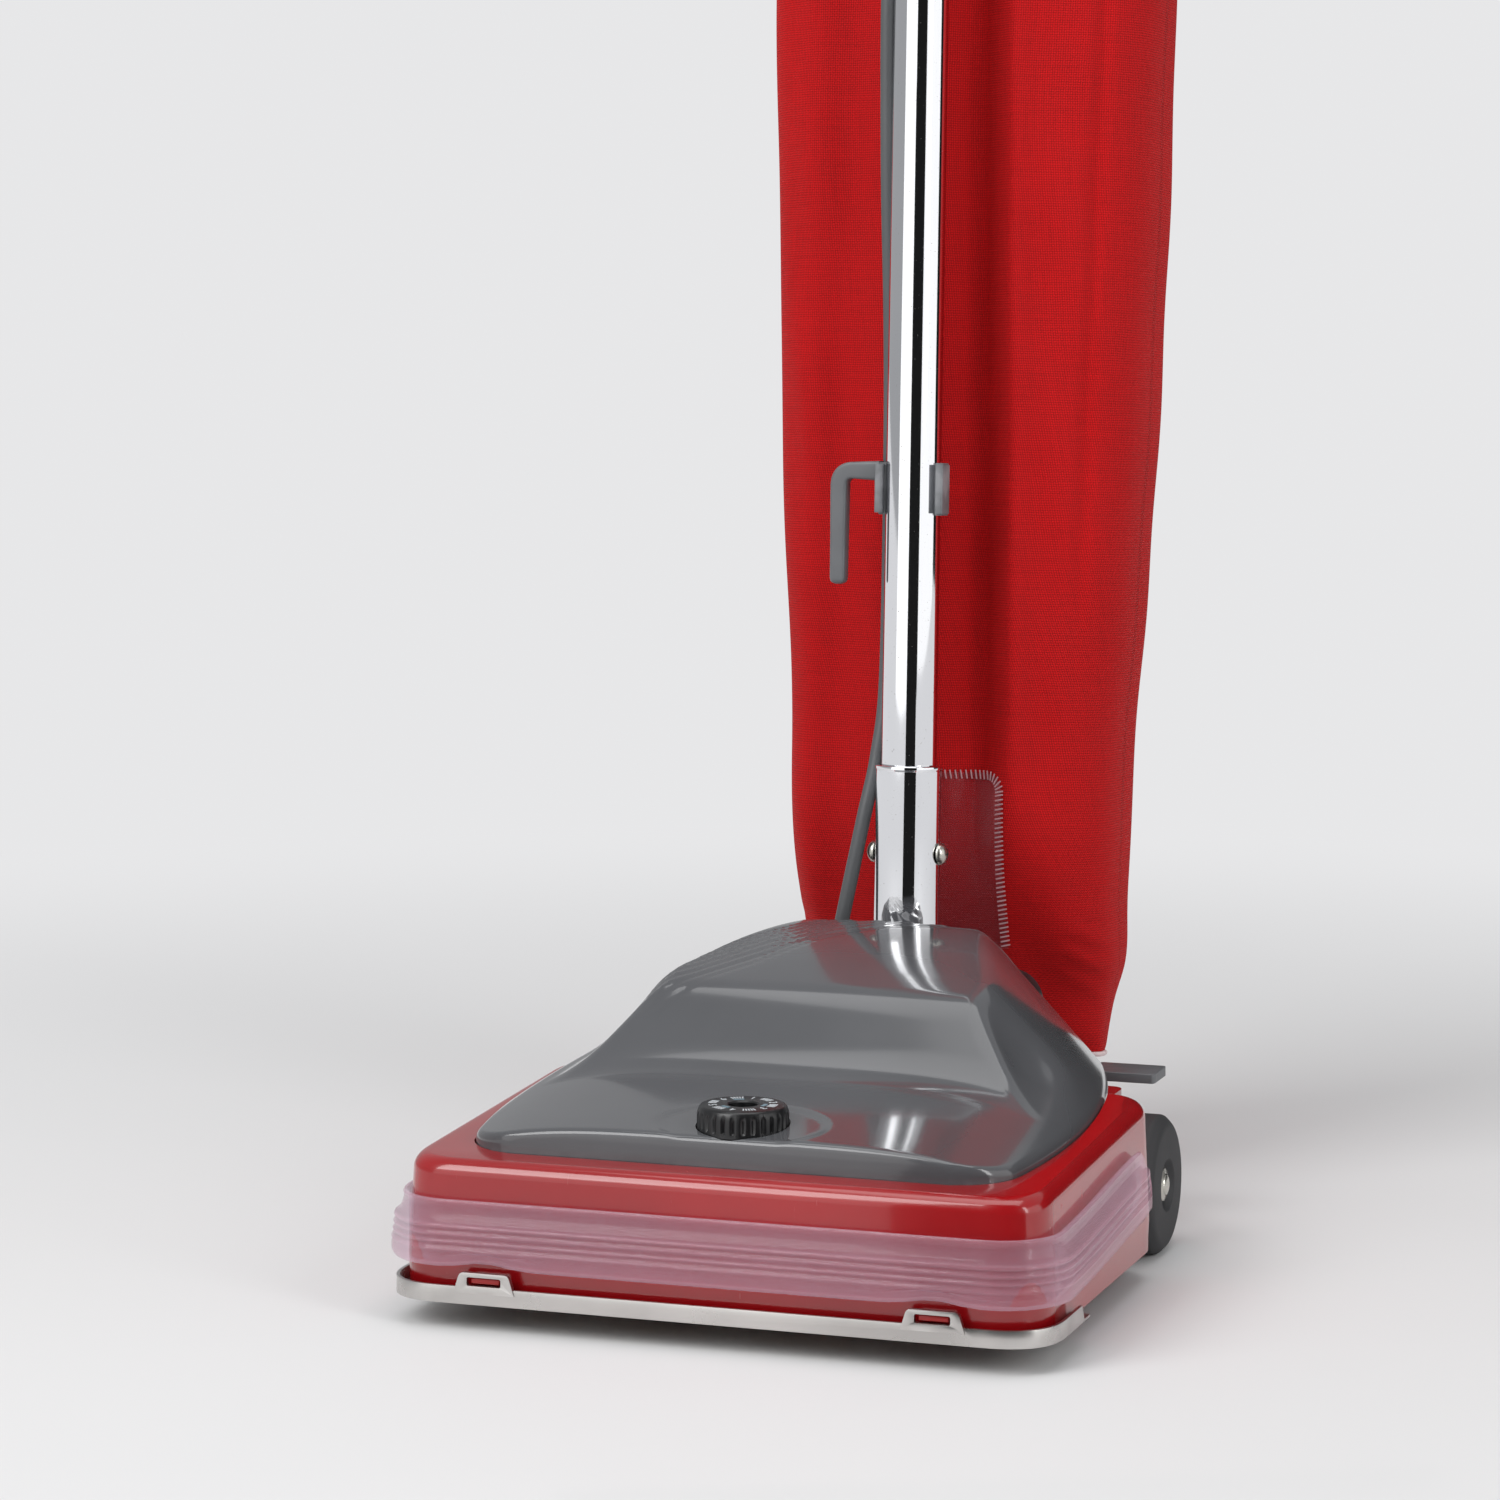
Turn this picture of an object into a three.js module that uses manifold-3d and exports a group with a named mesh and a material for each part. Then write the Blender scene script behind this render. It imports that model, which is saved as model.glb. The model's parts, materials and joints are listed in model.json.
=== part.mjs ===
// Upright vacuum cleaner for commercial use: a nozzle base with motor, fan and brush roll, a tilting tube
// handle, and a cloth dust bag behind it. Millimetres, +Z up, front of the nozzle towards -Y.
// The origin is on the floor, midway between the rear wheels.
import * as THREE from "three";
import { mergeVertices } from "three/addons/utils/BufferGeometryUtils.js";
import Module from "manifold-3d";

const wasm = await Module();
wasm.setup();

// ---------------------------------------------------------------- driving dimensions
const GAP = 0.3; // between a piece and the neighbour it rests on
const RUN = 0.5; // between a piece that turns and its seat

const BODY = { half: 158, front: -253, rear: -38, corner: 28, bottom: 14.2, round: 7 };
const SHOULDER = { front: 76, rise: 10 }; // height of the red shoulder at the front, and its rise to the rear
const TAIL = { half: 121, front: -70, rear: 60, bottom: 20, top: 57, corner: 16 };

const HOOD = { front: -228, rear: 26, half: 139, waist: 27.9, corner: 22, bottom: 76, lip: 91.1, wall: 2.8 };
const FACE = { y: -100, z: 136.2, slope: 1.12 }; // upper edge of the hood's sloping front face
const CREST = { y: 1.6, z: 154.9, arch: 7, fall: 0.55 };
const FLANK = { front: 81.4, widen: 19.3, slope: 1.245 }; // half-width of the dome at its front edge, and its sides

const PLATE = { half: 160.5, front: -257, bottom: 12.6, thick: 1.2, rim: 20.6, corner: 30 };
const NOZZLE = { front: -240, rear: -202 }; // suction slot in the bottom plate
const LOOP = { x: 107.5, width: 24, top: 27.4, slotLow: 21.6, slotHigh: 25.2, slotHalf: 8.2 };

const BRUSH = { y: -221, z: 38.6, core: 15, tip: 23.4, half: 136, chamber: 24.9, twist: Math.PI, groove: 9 };
const MOTOR = { y: -52, fanR: 50, chamberR: 58, stackR: 41, pulleyR: 7, shaftR: 4 };
const FAN = { low: 36, high: 46, coverLow: 33.9, roof: 49.5 };
const BELT = { r: 2.2, motorZ: 19 };

const REAR_WHEEL = { x: 127, width: 23, r: 34, bore: 5 };
const FRONT_WHEEL = { x: 58, width: 12, r: 13, y: -172, bore: 2.6 };
const CARRIAGE = { y: -140, z: 60, half: 80 };
const KNOB = { y: -205, r: 21.4, top: 102.5, skirt: 89.5, stemHole: 18.8, low: 72, turn: 150, travel: 6 };

const PIVOT = { y: 42, z: 62 }; // handle hinge, and the handle's own origin
const LEAN = THREE.MathUtils.degToRad(3.2); // how far the upright handle leans back
const TUBE = { r: 14.3, wall: 1.5, low: 62, joint: 640, bend: 950 };
const SOCKET = { r: 17, low: 50.5, top: 168, screwZ: 123 };
const DUCT = { x: 48, y: 44, r: 16, wall: 2, mouthZ: 106 };
const PEDAL = { y: 74, z: 72, pivotX: 84, tip: 129 };

// ---------------------------------------------------------------- materials
const material = (color, roughness, metalness = 0) =>
  new THREE.MeshStandardMaterial({ color, roughness, metalness });
const RED = material(0xa3070c, 0.2);
const GREY = material(0x55565a, 0.22);
const GREY_MATT = material(0x66686b, 0.5);
const BLACK = material(0x0b0b0c, 0.35);
const RUBBER = material(0x1b1b1c, 0.8);
const CHROME = material(0xd8d9dc, 0.06, 1);
const STEEL = material(0xa9aaab, 0.35, 1);
const COPPER = material(0x9c5a2c, 0.4, 1);
const VINYL = new THREE.MeshStandardMaterial({
  color: 0xcbbfd2, roughness: 0.15, transparent: true, opacity: 0.45,
});
const CLOTH = material(0xc8060e, 0.9);
const PAPER = material(0xc8b58e, 0.95);
const CORD = material(0x4a4d4f, 0.6);
const BRISTLE = material(0x202022, 0.9);

// ---------------------------------------------------------------- helpers: shapes to solids
function solid(geometry) {
  const g = geometry.index ? geometry.toNonIndexed() : geometry.clone();
  for (const name of Object.keys(g.attributes)) if (name !== "position") g.deleteAttribute(name);
  const merged = mergeVertices(g, 1e-4);
  const triVerts = new Uint32Array(merged.index.array);
  const p = merged.attributes.position.array;
  if (signedVolume(p, triVerts) < 0)
    for (let i = 0; i < triVerts.length; i += 3)
      [triVerts[i + 1], triVerts[i + 2]] = [triVerts[i + 2], triVerts[i + 1]];
  return new wasm.Manifold(new wasm.Mesh({ numProp: 3, vertProperties: p, triVerts }));
}

function signedVolume(p, tri) {
  const v = (i) => new THREE.Vector3(p[3 * i], p[3 * i + 1], p[3 * i + 2]);
  let sum = 0;
  for (let i = 0; i < tri.length; i += 3)
    sum += v(tri[i]).dot(v(tri[i + 1]).cross(v(tri[i + 2])));
  return sum / 6;
}

function geometryOf(made) {
  const m = made.getMesh();
  const g = new THREE.BufferGeometry();
  g.setAttribute("position", new THREE.BufferAttribute(new Float32Array(m.vertProperties), 3));
  g.setIndex(new THREE.BufferAttribute(new Uint32Array(m.triVerts), 1));
  const flat = g.toNonIndexed();
  flat.computeVertexNormals();
  return flat;
}

const box = (x0, x1, y0, y1, z0, z1) =>
  solid(new THREE.BoxGeometry(x1 - x0, y1 - y0, z1 - z0)
    .translate((x0 + x1) / 2, (y0 + y1) / 2, (z0 + z1) / 2));

// A cylinder between two values along one axis, through a point given by its other two coordinates.
function cylinder(axis, r, from, to, [p, q], segments = 28, r2 = r) {
  const g = new THREE.CylinderGeometry(r2, r, to - from, segments).translate(0, (from + to) / 2, 0);
  if (axis === "z") g.rotateX(Math.PI / 2).translate(p, q, 0);
  if (axis === "x") g.rotateZ(-Math.PI / 2).translate(0, p, q);
  if (axis === "y") g.translate(p, 0, q);
  return solid(g);
}

// A pipe: the cylinder with a bore through it.
const pipe = (axis, r, bore, from, to, at, segments = 28) =>
  cylinder(axis, r, from, to, at, segments).subtract(
    cylinder(axis, bore, from - 1, to + 1, at, segments));

// A turned piece: the profile holds [radius, height] pairs, and the axis of turning is moved to x, y or z.
function turned(profile, axis, [p, q], segments = 32) {
  const g = new THREE.LatheGeometry(profile.map(([r, h]) => new THREE.Vector2(r, h)), segments);
  if (axis === "z") g.rotateX(Math.PI / 2).translate(p, q, 0);
  if (axis === "x") g.rotateZ(-Math.PI / 2).translate(0, p, q);
  if (axis === "y") g.translate(p, 0, q);
  return solid(g);
}

// A solid whose side runs through rings of points, with a flat fan at each end.
function loft(rings) {
  const n = rings[0].length;
  const points = rings.flat();
  const tri = [];
  rings.slice(1).forEach((_, k) => {
    for (let i = 0; i < n; i++) {
      const a = k * n + i;
      const b = k * n + ((i + 1) % n);
      tri.push(a, b, b + n, a, b + n, a + n);
    }
  });
  const cap = (first, turn) => {
    const ring = points.slice(first, first + n);
    const centre = ring.reduce((s, v) => s.add(v), new THREE.Vector3()).divideScalar(n);
    const c = points.push(centre) - 1;
    for (let i = 0; i < n; i++) {
      const [a, b] = [first + i, first + ((i + 1) % n)];
      tri.push(...(turn ? [c, b, a] : [c, a, b]));
    }
  };
  cap(0, true);
  cap(n * (rings.length - 1), false);
  const g = new THREE.BufferGeometry().setFromPoints(points);
  g.setIndex(tri);
  return solid(g);
}

// A plate: the outline in XY, between two heights.
function slab(shape, z0, z1, curveSegments = 8) {
  const g = new THREE.ExtrudeGeometry(shape, { depth: z1 - z0, bevelEnabled: false, curveSegments });
  return solid(g.translate(0, 0, z0));
}

// The same for an outline in YZ, between two x values.
function sideSlab(points, x0, x1) {
  const shape = new THREE.Shape(points.map(([y, z]) => new THREE.Vector2(y, z)));
  const g = new THREE.ExtrudeGeometry(shape, { depth: x1 - x0, bevelEnabled: false });
  return solid(g.rotateY(Math.PI / 2).rotateX(Math.PI / 2).translate(x0, 0, 0));
}

// Points of a rectangle with rounded corners, anticlockwise from the middle of its right side.
function roundedRect(x0, x1, y0, y1, r, perCorner = 5) {
  const corners = [[x1 - r, y1 - r, 0], [x0 + r, y1 - r, 1], [x0 + r, y0 + r, 2], [x1 - r, y0 + r, 3]];
  return corners.flatMap(([cx, cy, quarter]) =>
    Array.from({ length: perCorner + 1 }, (_, i) => {
      const a = ((quarter + i / perCorner) * Math.PI) / 2;
      return new THREE.Vector2(cx + r * Math.cos(a), cy + r * Math.sin(a));
    }));
}

const shapeOf = (points) => new THREE.Shape(points);

// A round rod along a smooth curve through points.
function rod(points, r, steps = 16, segments = 4) {
  const path = new THREE.CatmullRomCurve3(points.map((p) => new THREE.Vector3(...p)));
  const circle = new THREE.Shape().absarc(0, 0, r, 0, 2 * Math.PI);
  return solid(new THREE.ExtrudeGeometry(circle, {
    steps, extrudePath: path, bevelEnabled: false, curveSegments: segments,
  }));
}

const join = (...solids) => solids.reduce((a, b) => a.add(b));
const cut = (body, ...tools) => tools.reduce((a, b) => a.subtract(b), body);
const mirrorX = (made) => made.mirror([1, 0, 0]);

const machine = new THREE.Group();
const handle = new THREE.Group();
handle.position.set(0, PIVOT.y, PIVOT.z);
handle.rotation.x = -LEAN;
machine.add(handle);

function add(name, made, look, group = machine) {
  const mesh = new THREE.Mesh(geometryOf(made), look);
  mesh.name = name;
  group.add(mesh);
}

// ---------------------------------------------------------------- hood surface
const smooth = THREE.MathUtils.smoothstep;
const lerp = THREE.MathUtils.lerp;

function softMin(a, b, k) {
  const h = Math.max(k - Math.abs(a - b), 0) / k;
  return Math.min(a, b) - (h * h * k) / 4;
}

const softMax = (a, b, k) => -softMin(-a, -b, k);

// Half-width of the hood's foot: rounded front corners, widest a third of the way back.
function hoodHalf(y) {
  const side = HOOD.half - HOOD.waist * ((y + 135) / 161) ** 2 * (y > -135 ? 1 : 1.2);
  const past = HOOD.corner - Math.min(y - HOOD.front, HOOD.corner);
  return side - HOOD.corner + Math.sqrt(Math.max(HOOD.corner ** 2 - past ** 2, 0));
}

// A flat shelf in front, then a sloping face up to the crest of a dome with steep flanks.
function hoodHeight(x, y) {
  const a = Math.abs(x);
  const shelf = HOOD.lip + 0.118 * (y - HOOD.front) - 5 * (a / 110) ** 4;
  const face = FACE.z + FACE.slope * (y - FACE.y);
  const climb = (CREST.z - FACE.z - 1) * ((CREST.y - y) / (CREST.y - FACE.y)) ** 2;
  const crest = Math.min(CREST.z - climb, CREST.z - CREST.fall * Math.max(0, y - 16));
  const arch = CREST.arch * smooth(y, -110, -40) * (a / 90) ** 2;
  const edge = FLANK.front + FLANK.widen * smooth(y, -110, -30);
  const flank = FACE.z - FLANK.slope * (a - edge);
  const dome = softMin(softMin(face, crest - arch, 6), flank, 10);
  const skirt = 85 + 1.05 * (hoodHalf(y) - a);
  return softMin(softMax(shelf, dome, 14), skirt, 5);
}

// The hood's solid between its foot and its surface, made smaller all round by inset.
const STATIONS = [0, 1.5, 6, 14, 24, 50, 74, 88, 96, 108, 120, 130, 144, 168, 200, 230, 244, 254];
function hoodBlock(inset, foot) {
  const across = 18;
  const length = HOOD.rear - HOOD.front;
  return loft(STATIONS.map((s) => {
    const y = HOOD.front + s;
    const yIn = lerp(HOOD.front + inset, HOOD.rear - inset, s / length);
    const half = hoodHalf(y);
    const ring = [];
    for (let i = 0; i <= across; i++) {
      const u = Math.sin((i / across - 0.5) * Math.PI);
      const x = u * half;
      const z = Math.max(hoodHeight(x, y) - inset, foot + 1);
      ring.push(new THREE.Vector3(u * (half - inset), yIn, z));
    }
    ring.push(new THREE.Vector3(half - inset, yIn, foot), new THREE.Vector3(inset - half, yIn, foot));
    return ring;
  }));
}

function hoodOutline(grow) {
  const side = [];
  for (const s of STATIONS)
    side.push(new THREE.Vector2(hoodHalf(HOOD.front + s) + grow, HOOD.front + s));
  side[0].y -= grow;
  side[side.length - 1].y += grow;
  return side.concat(side.map((p) => new THREE.Vector2(-p.x, p.y)).reverse());
}

function hood() {
  const knobHole = cylinder("z", KNOB.stemHole, 60, 120, [0, KNOB.y], 32);
  const knobDish = cylinder("z", KNOB.r + 0.6, KNOB.skirt - GAP, 120, [0, KNOB.y], 40);
  add("hood", cut(hoodBlock(0, HOOD.bottom), hoodBlock(HOOD.wall, HOOD.bottom - 5), knobHole, knobDish), GREY);
}

// ---------------------------------------------------------------- red base casting
const shoulderAt = (y) => SHOULDER.front + (SHOULDER.rise * (y - BODY.front)) / (BODY.rear - BODY.front);

function frontBlock() {
  const ring = (inset, heightAt) =>
    roundedRect(-BODY.half + inset, BODY.half - inset, BODY.front + inset, BODY.rear - inset * 0.4,
      BODY.corner - inset).map((p) => new THREE.Vector3(p.x, p.y, heightAt(p.y)));
  const rings = [ring(3, () => BODY.bottom), ring(3, () => 22), ring(2, () => 30)];
  for (let i = 0; i <= 4; i++) {
    const a = (i / 4) * (Math.PI / 2);
    rings.push(ring(2 + BODY.round * (1 - Math.cos(a)),
      (y) => shoulderAt(y) - BODY.round * (1 - Math.sin(a))));
  }
  return loft(rings);
}

function housing() {
  const tail = slab(shapeOf(roundedRect(-TAIL.half, TAIL.half, TAIL.front, TAIL.rear, TAIL.corner)),
    TAIL.bottom, TAIL.top);
  const tailWall = slab(shapeOf(roundedRect(-TAIL.half, TAIL.half, TAIL.front, HOOD.rear + 1, 8)),
    TAIL.bottom, HOOD.bottom - GAP);
  const trunnion = join(cylinder("x", 13, -18.5, 18.5, [PIVOT.y, PIVOT.z], 24),
    box(-18.5, 18.5, 30, 54, 50, PIVOT.z));
  const bosses = [1, -1].map((s) => cylinder("x", 9, Math.min(s * 110, s * 126), Math.max(s * 110, s * 126),
    [0, REAR_WHEEL.r], 20));
  const tabs = [1, -1].map((s) => box(s * LOOP.x - 7, s * LOOP.x + 7, -256, -247, 22.3, 24.6));
  const pedalLugs = [PEDAL.y - 9.5, PEDAL.y + 6.5].map((y) => box(PEDAL.pivotX - 6, PEDAL.pivotX + 6, y, y + 3, 40, 78));
  const lugFoot = box(PEDAL.pivotX - 6, PEDAL.pivotX + 6, 50, PEDAL.y + 9.5, 40, 52);

  const chamber = join(cylinder("x", BRUSH.chamber, -146, 146, [BRUSH.y, BRUSH.z], 32),
    box(-146, 146, BRUSH.y - BRUSH.chamber, BRUSH.y + BRUSH.chamber, 5, BRUSH.z));
  const wheelBay = box(-90, 90, -193, -130, 5, 65);
  const beltSlot = box(-16, 16, -205, -100, 5, 58);
  const airPassage = box(-45, 45, -205, -120, 5, 26);
  const fanChamber = join(cylinder("z", MOTOR.chamberR, FAN.coverLow, FAN.roof, [0, MOTOR.y], 32),
    cylinder("z", MOTOR.chamberR + 4, 5, FAN.coverLow + 1.8, [0, MOTOR.y], 32));
  const volute = box(33, 57, MOTOR.y, 50, 37, 48.5);
  const riser = cylinder("z", DUCT.r - 1, 40, 62, [DUCT.x, DUCT.y], 24);
  const shaftHole = cylinder("z", 14, 45, 60, [0, MOTOR.y], 24);
  const motorBay = slab(shapeOf(hoodOutline(-6)), 53, 120).subtract(box(-200, 200, -260, -126, 0, 200));
  const frontBay = slab(shapeOf(hoodOutline(-6)), 68.5, 120);
  const hoodSeat = slab(shapeOf(hoodOutline(0.8)), HOOD.bottom - GAP, 120);
  const knobWell = cylinder("z", KNOB.stemHole, 65.2, 100, [0, KNOB.y], 24);
  const fingerSlot = box(-8, 8, -198, -128, 55, 90);
  const wheelRoom = [1, -1].map((s) => box(Math.min(s * 125.5, s * 170), Math.max(s * 125.5, s * 170), -37.5, 40, 0, 70));
  const axleHoles = [1, -1].map((s) => cylinder("x", REAR_WHEEL.bore + GAP,
    Math.min(s * 100, s * 130), Math.max(s * 100, s * 130), [0, REAR_WHEEL.r], 20));
  const pivotHole = cylinder("x", 4.6, -40, 40, [PIVOT.y, PIVOT.z], 16);
  const carriageHole = cylinder("x", 3.4, -CARRIAGE.half - 5, CARRIAGE.half + 5, [CARRIAGE.y, CARRIAGE.z], 16);
  const pedalPin = cylinder("y", 2.6, PEDAL.y - 20, PEDAL.y + 20, [PEDAL.pivotX, PEDAL.z], 12);
  const armRoom = [1, -1].map((s) => box(Math.min(s * 18.8, s * 24), Math.max(s * 18.8, s * 24), 26, 68, 38, 90));
  const endSeats = [1, -1].map((s) => cylinder("x", 10, Math.min(s * 140, s * 152), Math.max(s * 140, s * 152),
    [BRUSH.y, BRUSH.z], 20));
  const cordHole = cylinder("z", 6, 40, 70, [-44, 46], 16);
  const pockets = [1, -1].flatMap((s) => {
    const [x0, x1] = [Math.min(s * 93, s * 151), Math.max(s * 93, s * 151)];
    return [box(x0, x1, -193, -129, 5, 64), box(x0, x1, -129.5, -45, 5, 50)];
  });

  const made = cut(join(frontBlock(), tail, tailWall, ...bosses),
    chamber, wheelBay, beltSlot, airPassage, fanChamber, volute, motorBay, frontBay, hoodSeat, knobWell,
    fingerSlot, ...wheelRoom, ...pockets).add(join(trunnion, ...tabs, ...pedalLugs, lugFoot, ...bosses));
  return cut(made, riser, shaftHole, ...axleHoles, pivotHole, carriageHole, pedalPin, ...armRoom,
    ...endSeats, cordHole);
}

// ---------------------------------------------------------------- vinyl furniture guard
function bumper() {
  const profile = [[0.7, 29.5], [0.7, 58.4], [2.4, 59.4], [3.4, 57.8], [2.9, 56], [4.2, 51.5], [6.2, 48.2],
    [7.6, 47], [6.6, 45], [7.8, 43.4], [6.9, 41.6], [8.2, 39.8], [7.6, 38], [9, 35], [8.6, 31.5], [4.5, 29]];
  const r = BODY.corner - 2;
  const side = BODY.half - 2;
  const front = BODY.front + 2;
  const path = [];
  const rearEnd = -76;
  for (const t of [0, 0.33, 0.66]) path.push([side, lerp(rearEnd, front + r, t), 1, 0]);
  const corner = (cx, cy, from) => {
    for (let i = 0; i <= 5; i++) {
      const a = from - (i / 5) * (Math.PI / 2);
      path.push([cx + r * Math.cos(a), cy + r * Math.sin(a), Math.cos(a), Math.sin(a)]);
    }
  };
  corner(side - r, front + r, 0);
  corner(r - side, front + r, -Math.PI / 2);
  for (const t of [0.66, 0.33, 0]) path.push([-side, lerp(rearEnd, front + r, t), -1, 0]);
  const rise = (y) => 10 * smooth(y, -240, -60);
  return loft(path.map(([x, y, nx, ny]) =>
    profile.map(([o, z]) => new THREE.Vector3(x + o * nx, y + o * ny, z + rise(y)))));
}

// ---------------------------------------------------------------- bottom plate and its latches
function bottomPlate() {
  const { half, front, bottom, thick, rim, corner } = PLATE;
  const outer = roundedRect(-half, half, front, -120, corner);
  const inner = roundedRect(-half + 1.6, half - 1.6, front + 1.6, -122, corner - 1.6);
  const pan = slab(shapeOf(outer), bottom, rim).subtract(slab(shapeOf(inner), bottom + thick, rim + 9));
  const rearLipOff = join(box(-half - 5, half + 5, -200, -80, bottom + thick, rim + 5),
    box(-half - 5, half + 5, -186, -80, 5, rim + 5));
  const belly = slab(shapeOf(roundedRect(-96, 96, -190, 22, 14)), bottom, bottom + thick);
  const slots = [-103, -34.5, 34.5, 103].map((x) => box(x - 33, x + 33, NOZZLE.front, NOZZLE.rear, 0, 30));
  const wheelSlots = [1, -1].map((s) => box(s * 57.5 - 16.5, s * 57.5 + 16.5, -190, -148, 0, 30));
  const loops = [1, -1].map((s) => cut(
    box(s * LOOP.x - LOOP.width / 2, s * LOOP.x + LOOP.width / 2, front, front + 1.6, bottom + 2, LOOP.top),
    box(s * LOOP.x - LOOP.slotHalf, s * LOOP.x + LOOP.slotHalf, front - 1, front + 3, LOOP.slotLow, LOOP.slotHigh)));
  return join(cut(pan, rearLipOff), belly, ...loops).subtract(join(...slots, ...wheelSlots));
}

function latch(side) {
  const x = side * 74;
  const disc = cylinder("z", 9, PLATE.bottom - 2.6, PLATE.bottom - GAP, [x, 32], 20);
  const tongue = box(x - 5, x + 5, 12, 32, PLATE.bottom - 2.6, PLATE.bottom - GAP);
  const post = cylinder("z", 3.4, PLATE.bottom - 1, 19.4, [x, 32], 14);
  const slot = box(x - 0.8, x + 0.8, 26, 38, PLATE.bottom - 4, PLATE.bottom - 1.9);
  return cut(join(disc, tongue, post), slot);
}

// ---------------------------------------------------------------- brush roll and belt
function brushRoll() {
  const { y, z, core, half } = BRUSH;
  const g = core;
  const profile = [[0, -half], [g - 3, -half], [g, -half + 4], [g, -6], [BRUSH.groove, -3.4],
    [BRUSH.groove, 3.4], [g, 6], [g, half - 4], [g - 3, half], [0, half]];
  const journals = cylinder("x", 4, -half - 7, half + 7, [y, z], 16);
  return join(turned(profile, "x", [y, z], 18), journals);
}

// One strip of bristles, winding from beside the belt groove to one end of the roll.
function bristles(side, start) {
  const { y, z, core, tip, half, twist } = BRUSH;
  const steps = 8;
  return loft(Array.from({ length: steps + 1 }, (_, i) => {
    const x = side * lerp(10, half - 12, i / steps);
    const a = start + side * (i / steps) * twist * 0.5;
    const [c, sn] = [Math.cos(a), Math.sin(a)];
    const ring = [[core + 0.5, -3.2], [tip, -2.2], [tip, 2.2], [core + 0.5, 3.2]];
    return ring.map(([r, w]) => new THREE.Vector3(x, y + r * c - w * sn, z + r * sn + w * c));
  }));
}

// Round drive belt: level round the motor pulley, then twisted a quarter turn onto the brush roll.
function belt() {
  const m = MOTOR.pulleyR + BELT.r + 3 * RUN;
  const b = BRUSH.groove + BELT.r + 3 * RUN;
  const turn = (from, at) => [0, 45, 90, 135, 180].map((a) => at(THREE.MathUtils.degToRad(a + from)));
  const loop = new THREE.CatmullRomCurve3([
    ...turn(-90, (a) => new THREE.Vector3(m * Math.sin(a), MOTOR.y + m * Math.cos(a), BELT.motorZ)),
    ...turn(90, (a) => new THREE.Vector3(0, BRUSH.y + b * Math.cos(a), BRUSH.z + b * Math.sin(a))),
  ], true, "centripetal");
  const half = (from, to) => rod(Array.from({ length: 22 }, (_, i) =>
    loop.getPointAt(lerp(from, to, i / 21) % 1).toArray()), BELT.r, 21, 3);
  return join(half(0, 0.506), half(0.5, 1.006));
}

// ---------------------------------------------------------------- motor and fan
function stator() {
  const { y, stackR } = MOTOR;
  const stack = cut(cylinder("z", stackR, 70, 102, [0, y], 32), cylinder("z", 25.5, 60, 110, [0, y], 32));
  const coils = [1, -1].map((s) => box(Math.min(s * 27, s * 38), Math.max(s * 27, s * 38), y - 14, y + 14, 63, 109));
  return join(stack, ...coils);
}

function motorFrame() {
  const { y } = MOTOR;
  const cap = pipe("z", 13, 8.6, 117.5, 127, [0, y], 18);
  const bar = cut(box(-46, 46, y - 8, y + 8, 113.5, 118.5), cylinder("z", 13.5, 105, 125, [0, y], 18));
  const rim = pipe("z", 16, 8.6, 113.5, 118.5, [0, y], 18);
  const legs = [1, -1].map((s) => box(Math.min(s * 42, s * 46), Math.max(s * 42, s * 46), y - 8, y + 8, 53.4, 118.5));
  return join(cap, rim, bar, ...legs);
}

function armature() {
  const { y, shaftR } = MOTOR;
  const shaft = cylinder("z", shaftR, 25.5, 126, [0, y], 16);
  const core = cylinder("z", 24.6, 71, 101, [0, y], 20);
  const winding = cylinder("z", 19, 66, 102.6, [0, y], 16);
  const commutator = cylinder("z", 12, 102, 112.5, [0, y], 16);
  return join(shaft, core, winding, commutator);
}

function impeller() {
  const { y, fanR, shaftR } = MOTOR;
  const disc = cylinder("z", fanR, FAN.high - 2, FAN.high, [0, y], 32);
  const hub = cylinder("z", 11, FAN.low - 1, FAN.high, [0, y], 16);
  const blades = Array.from({ length: 7 }, (_, k) =>
    box(9, fanR - 1, -1, 1, FAN.low, FAN.high - 1).rotate([0, 0, (k / 7) * 360 + 12]).translate([0, y, 0]));
  return cut(join(disc, hub, ...blades), cylinder("z", shaftR + GAP, 20, 60, [0, y], 16));
}

function pulley() {
  const r = MOTOR.pulleyR;
  const z = BELT.motorZ;
  return turned([[0, z - 4.4], [r + 2, z - 4.4], [r + 2, z - 3.4], [r, z - 1.8], [r, z + 1.8], [r + 2, z + 3.4],
    [r + 2, z + 4.8], [0, z + 4.8]], "z", [0, MOTOR.y], 20);
}

function fanCover() {
  return pipe("z", MOTOR.chamberR + 3.4, 24, FAN.coverLow, FAN.coverLow + 1.5, [0, MOTOR.y], 32);
}

// Brush gear: a holder on each side of the commutator, with the carbon brush sliding in it.
function brushHolder(side) {
  const y = MOTOR.y + side * 23;
  return cut(box(-7, 7, y - 10, y + 10, 103.5, 113.2), box(-3.4, 3.4, y - 12, y + 12, 105.8, 110.2));
}

function carbonBrush(side) {
  const y = MOTOR.y + side * 19.5;
  return box(-3, 3, y - 7, y + 7, 106.2, 109.8);
}

// ---------------------------------------------------------------- wheels and height setting
function rearWheel(side) {
  const { x, width, r, bore } = REAR_WHEEL;
  const profile = [[bore + RUN, 0], [r - 3, 0], [r, 3], [r, width - 4], [r - 4, width], [13, width], [11.5, width - 4],
    [bore + RUN, width - 4], [bore + RUN, 0]];
  const made = turned(profile.map(([q, h]) => [q, h + x]), "x", [0, r], 26);
  return side > 0 ? made : mirrorX(made);
}

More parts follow.
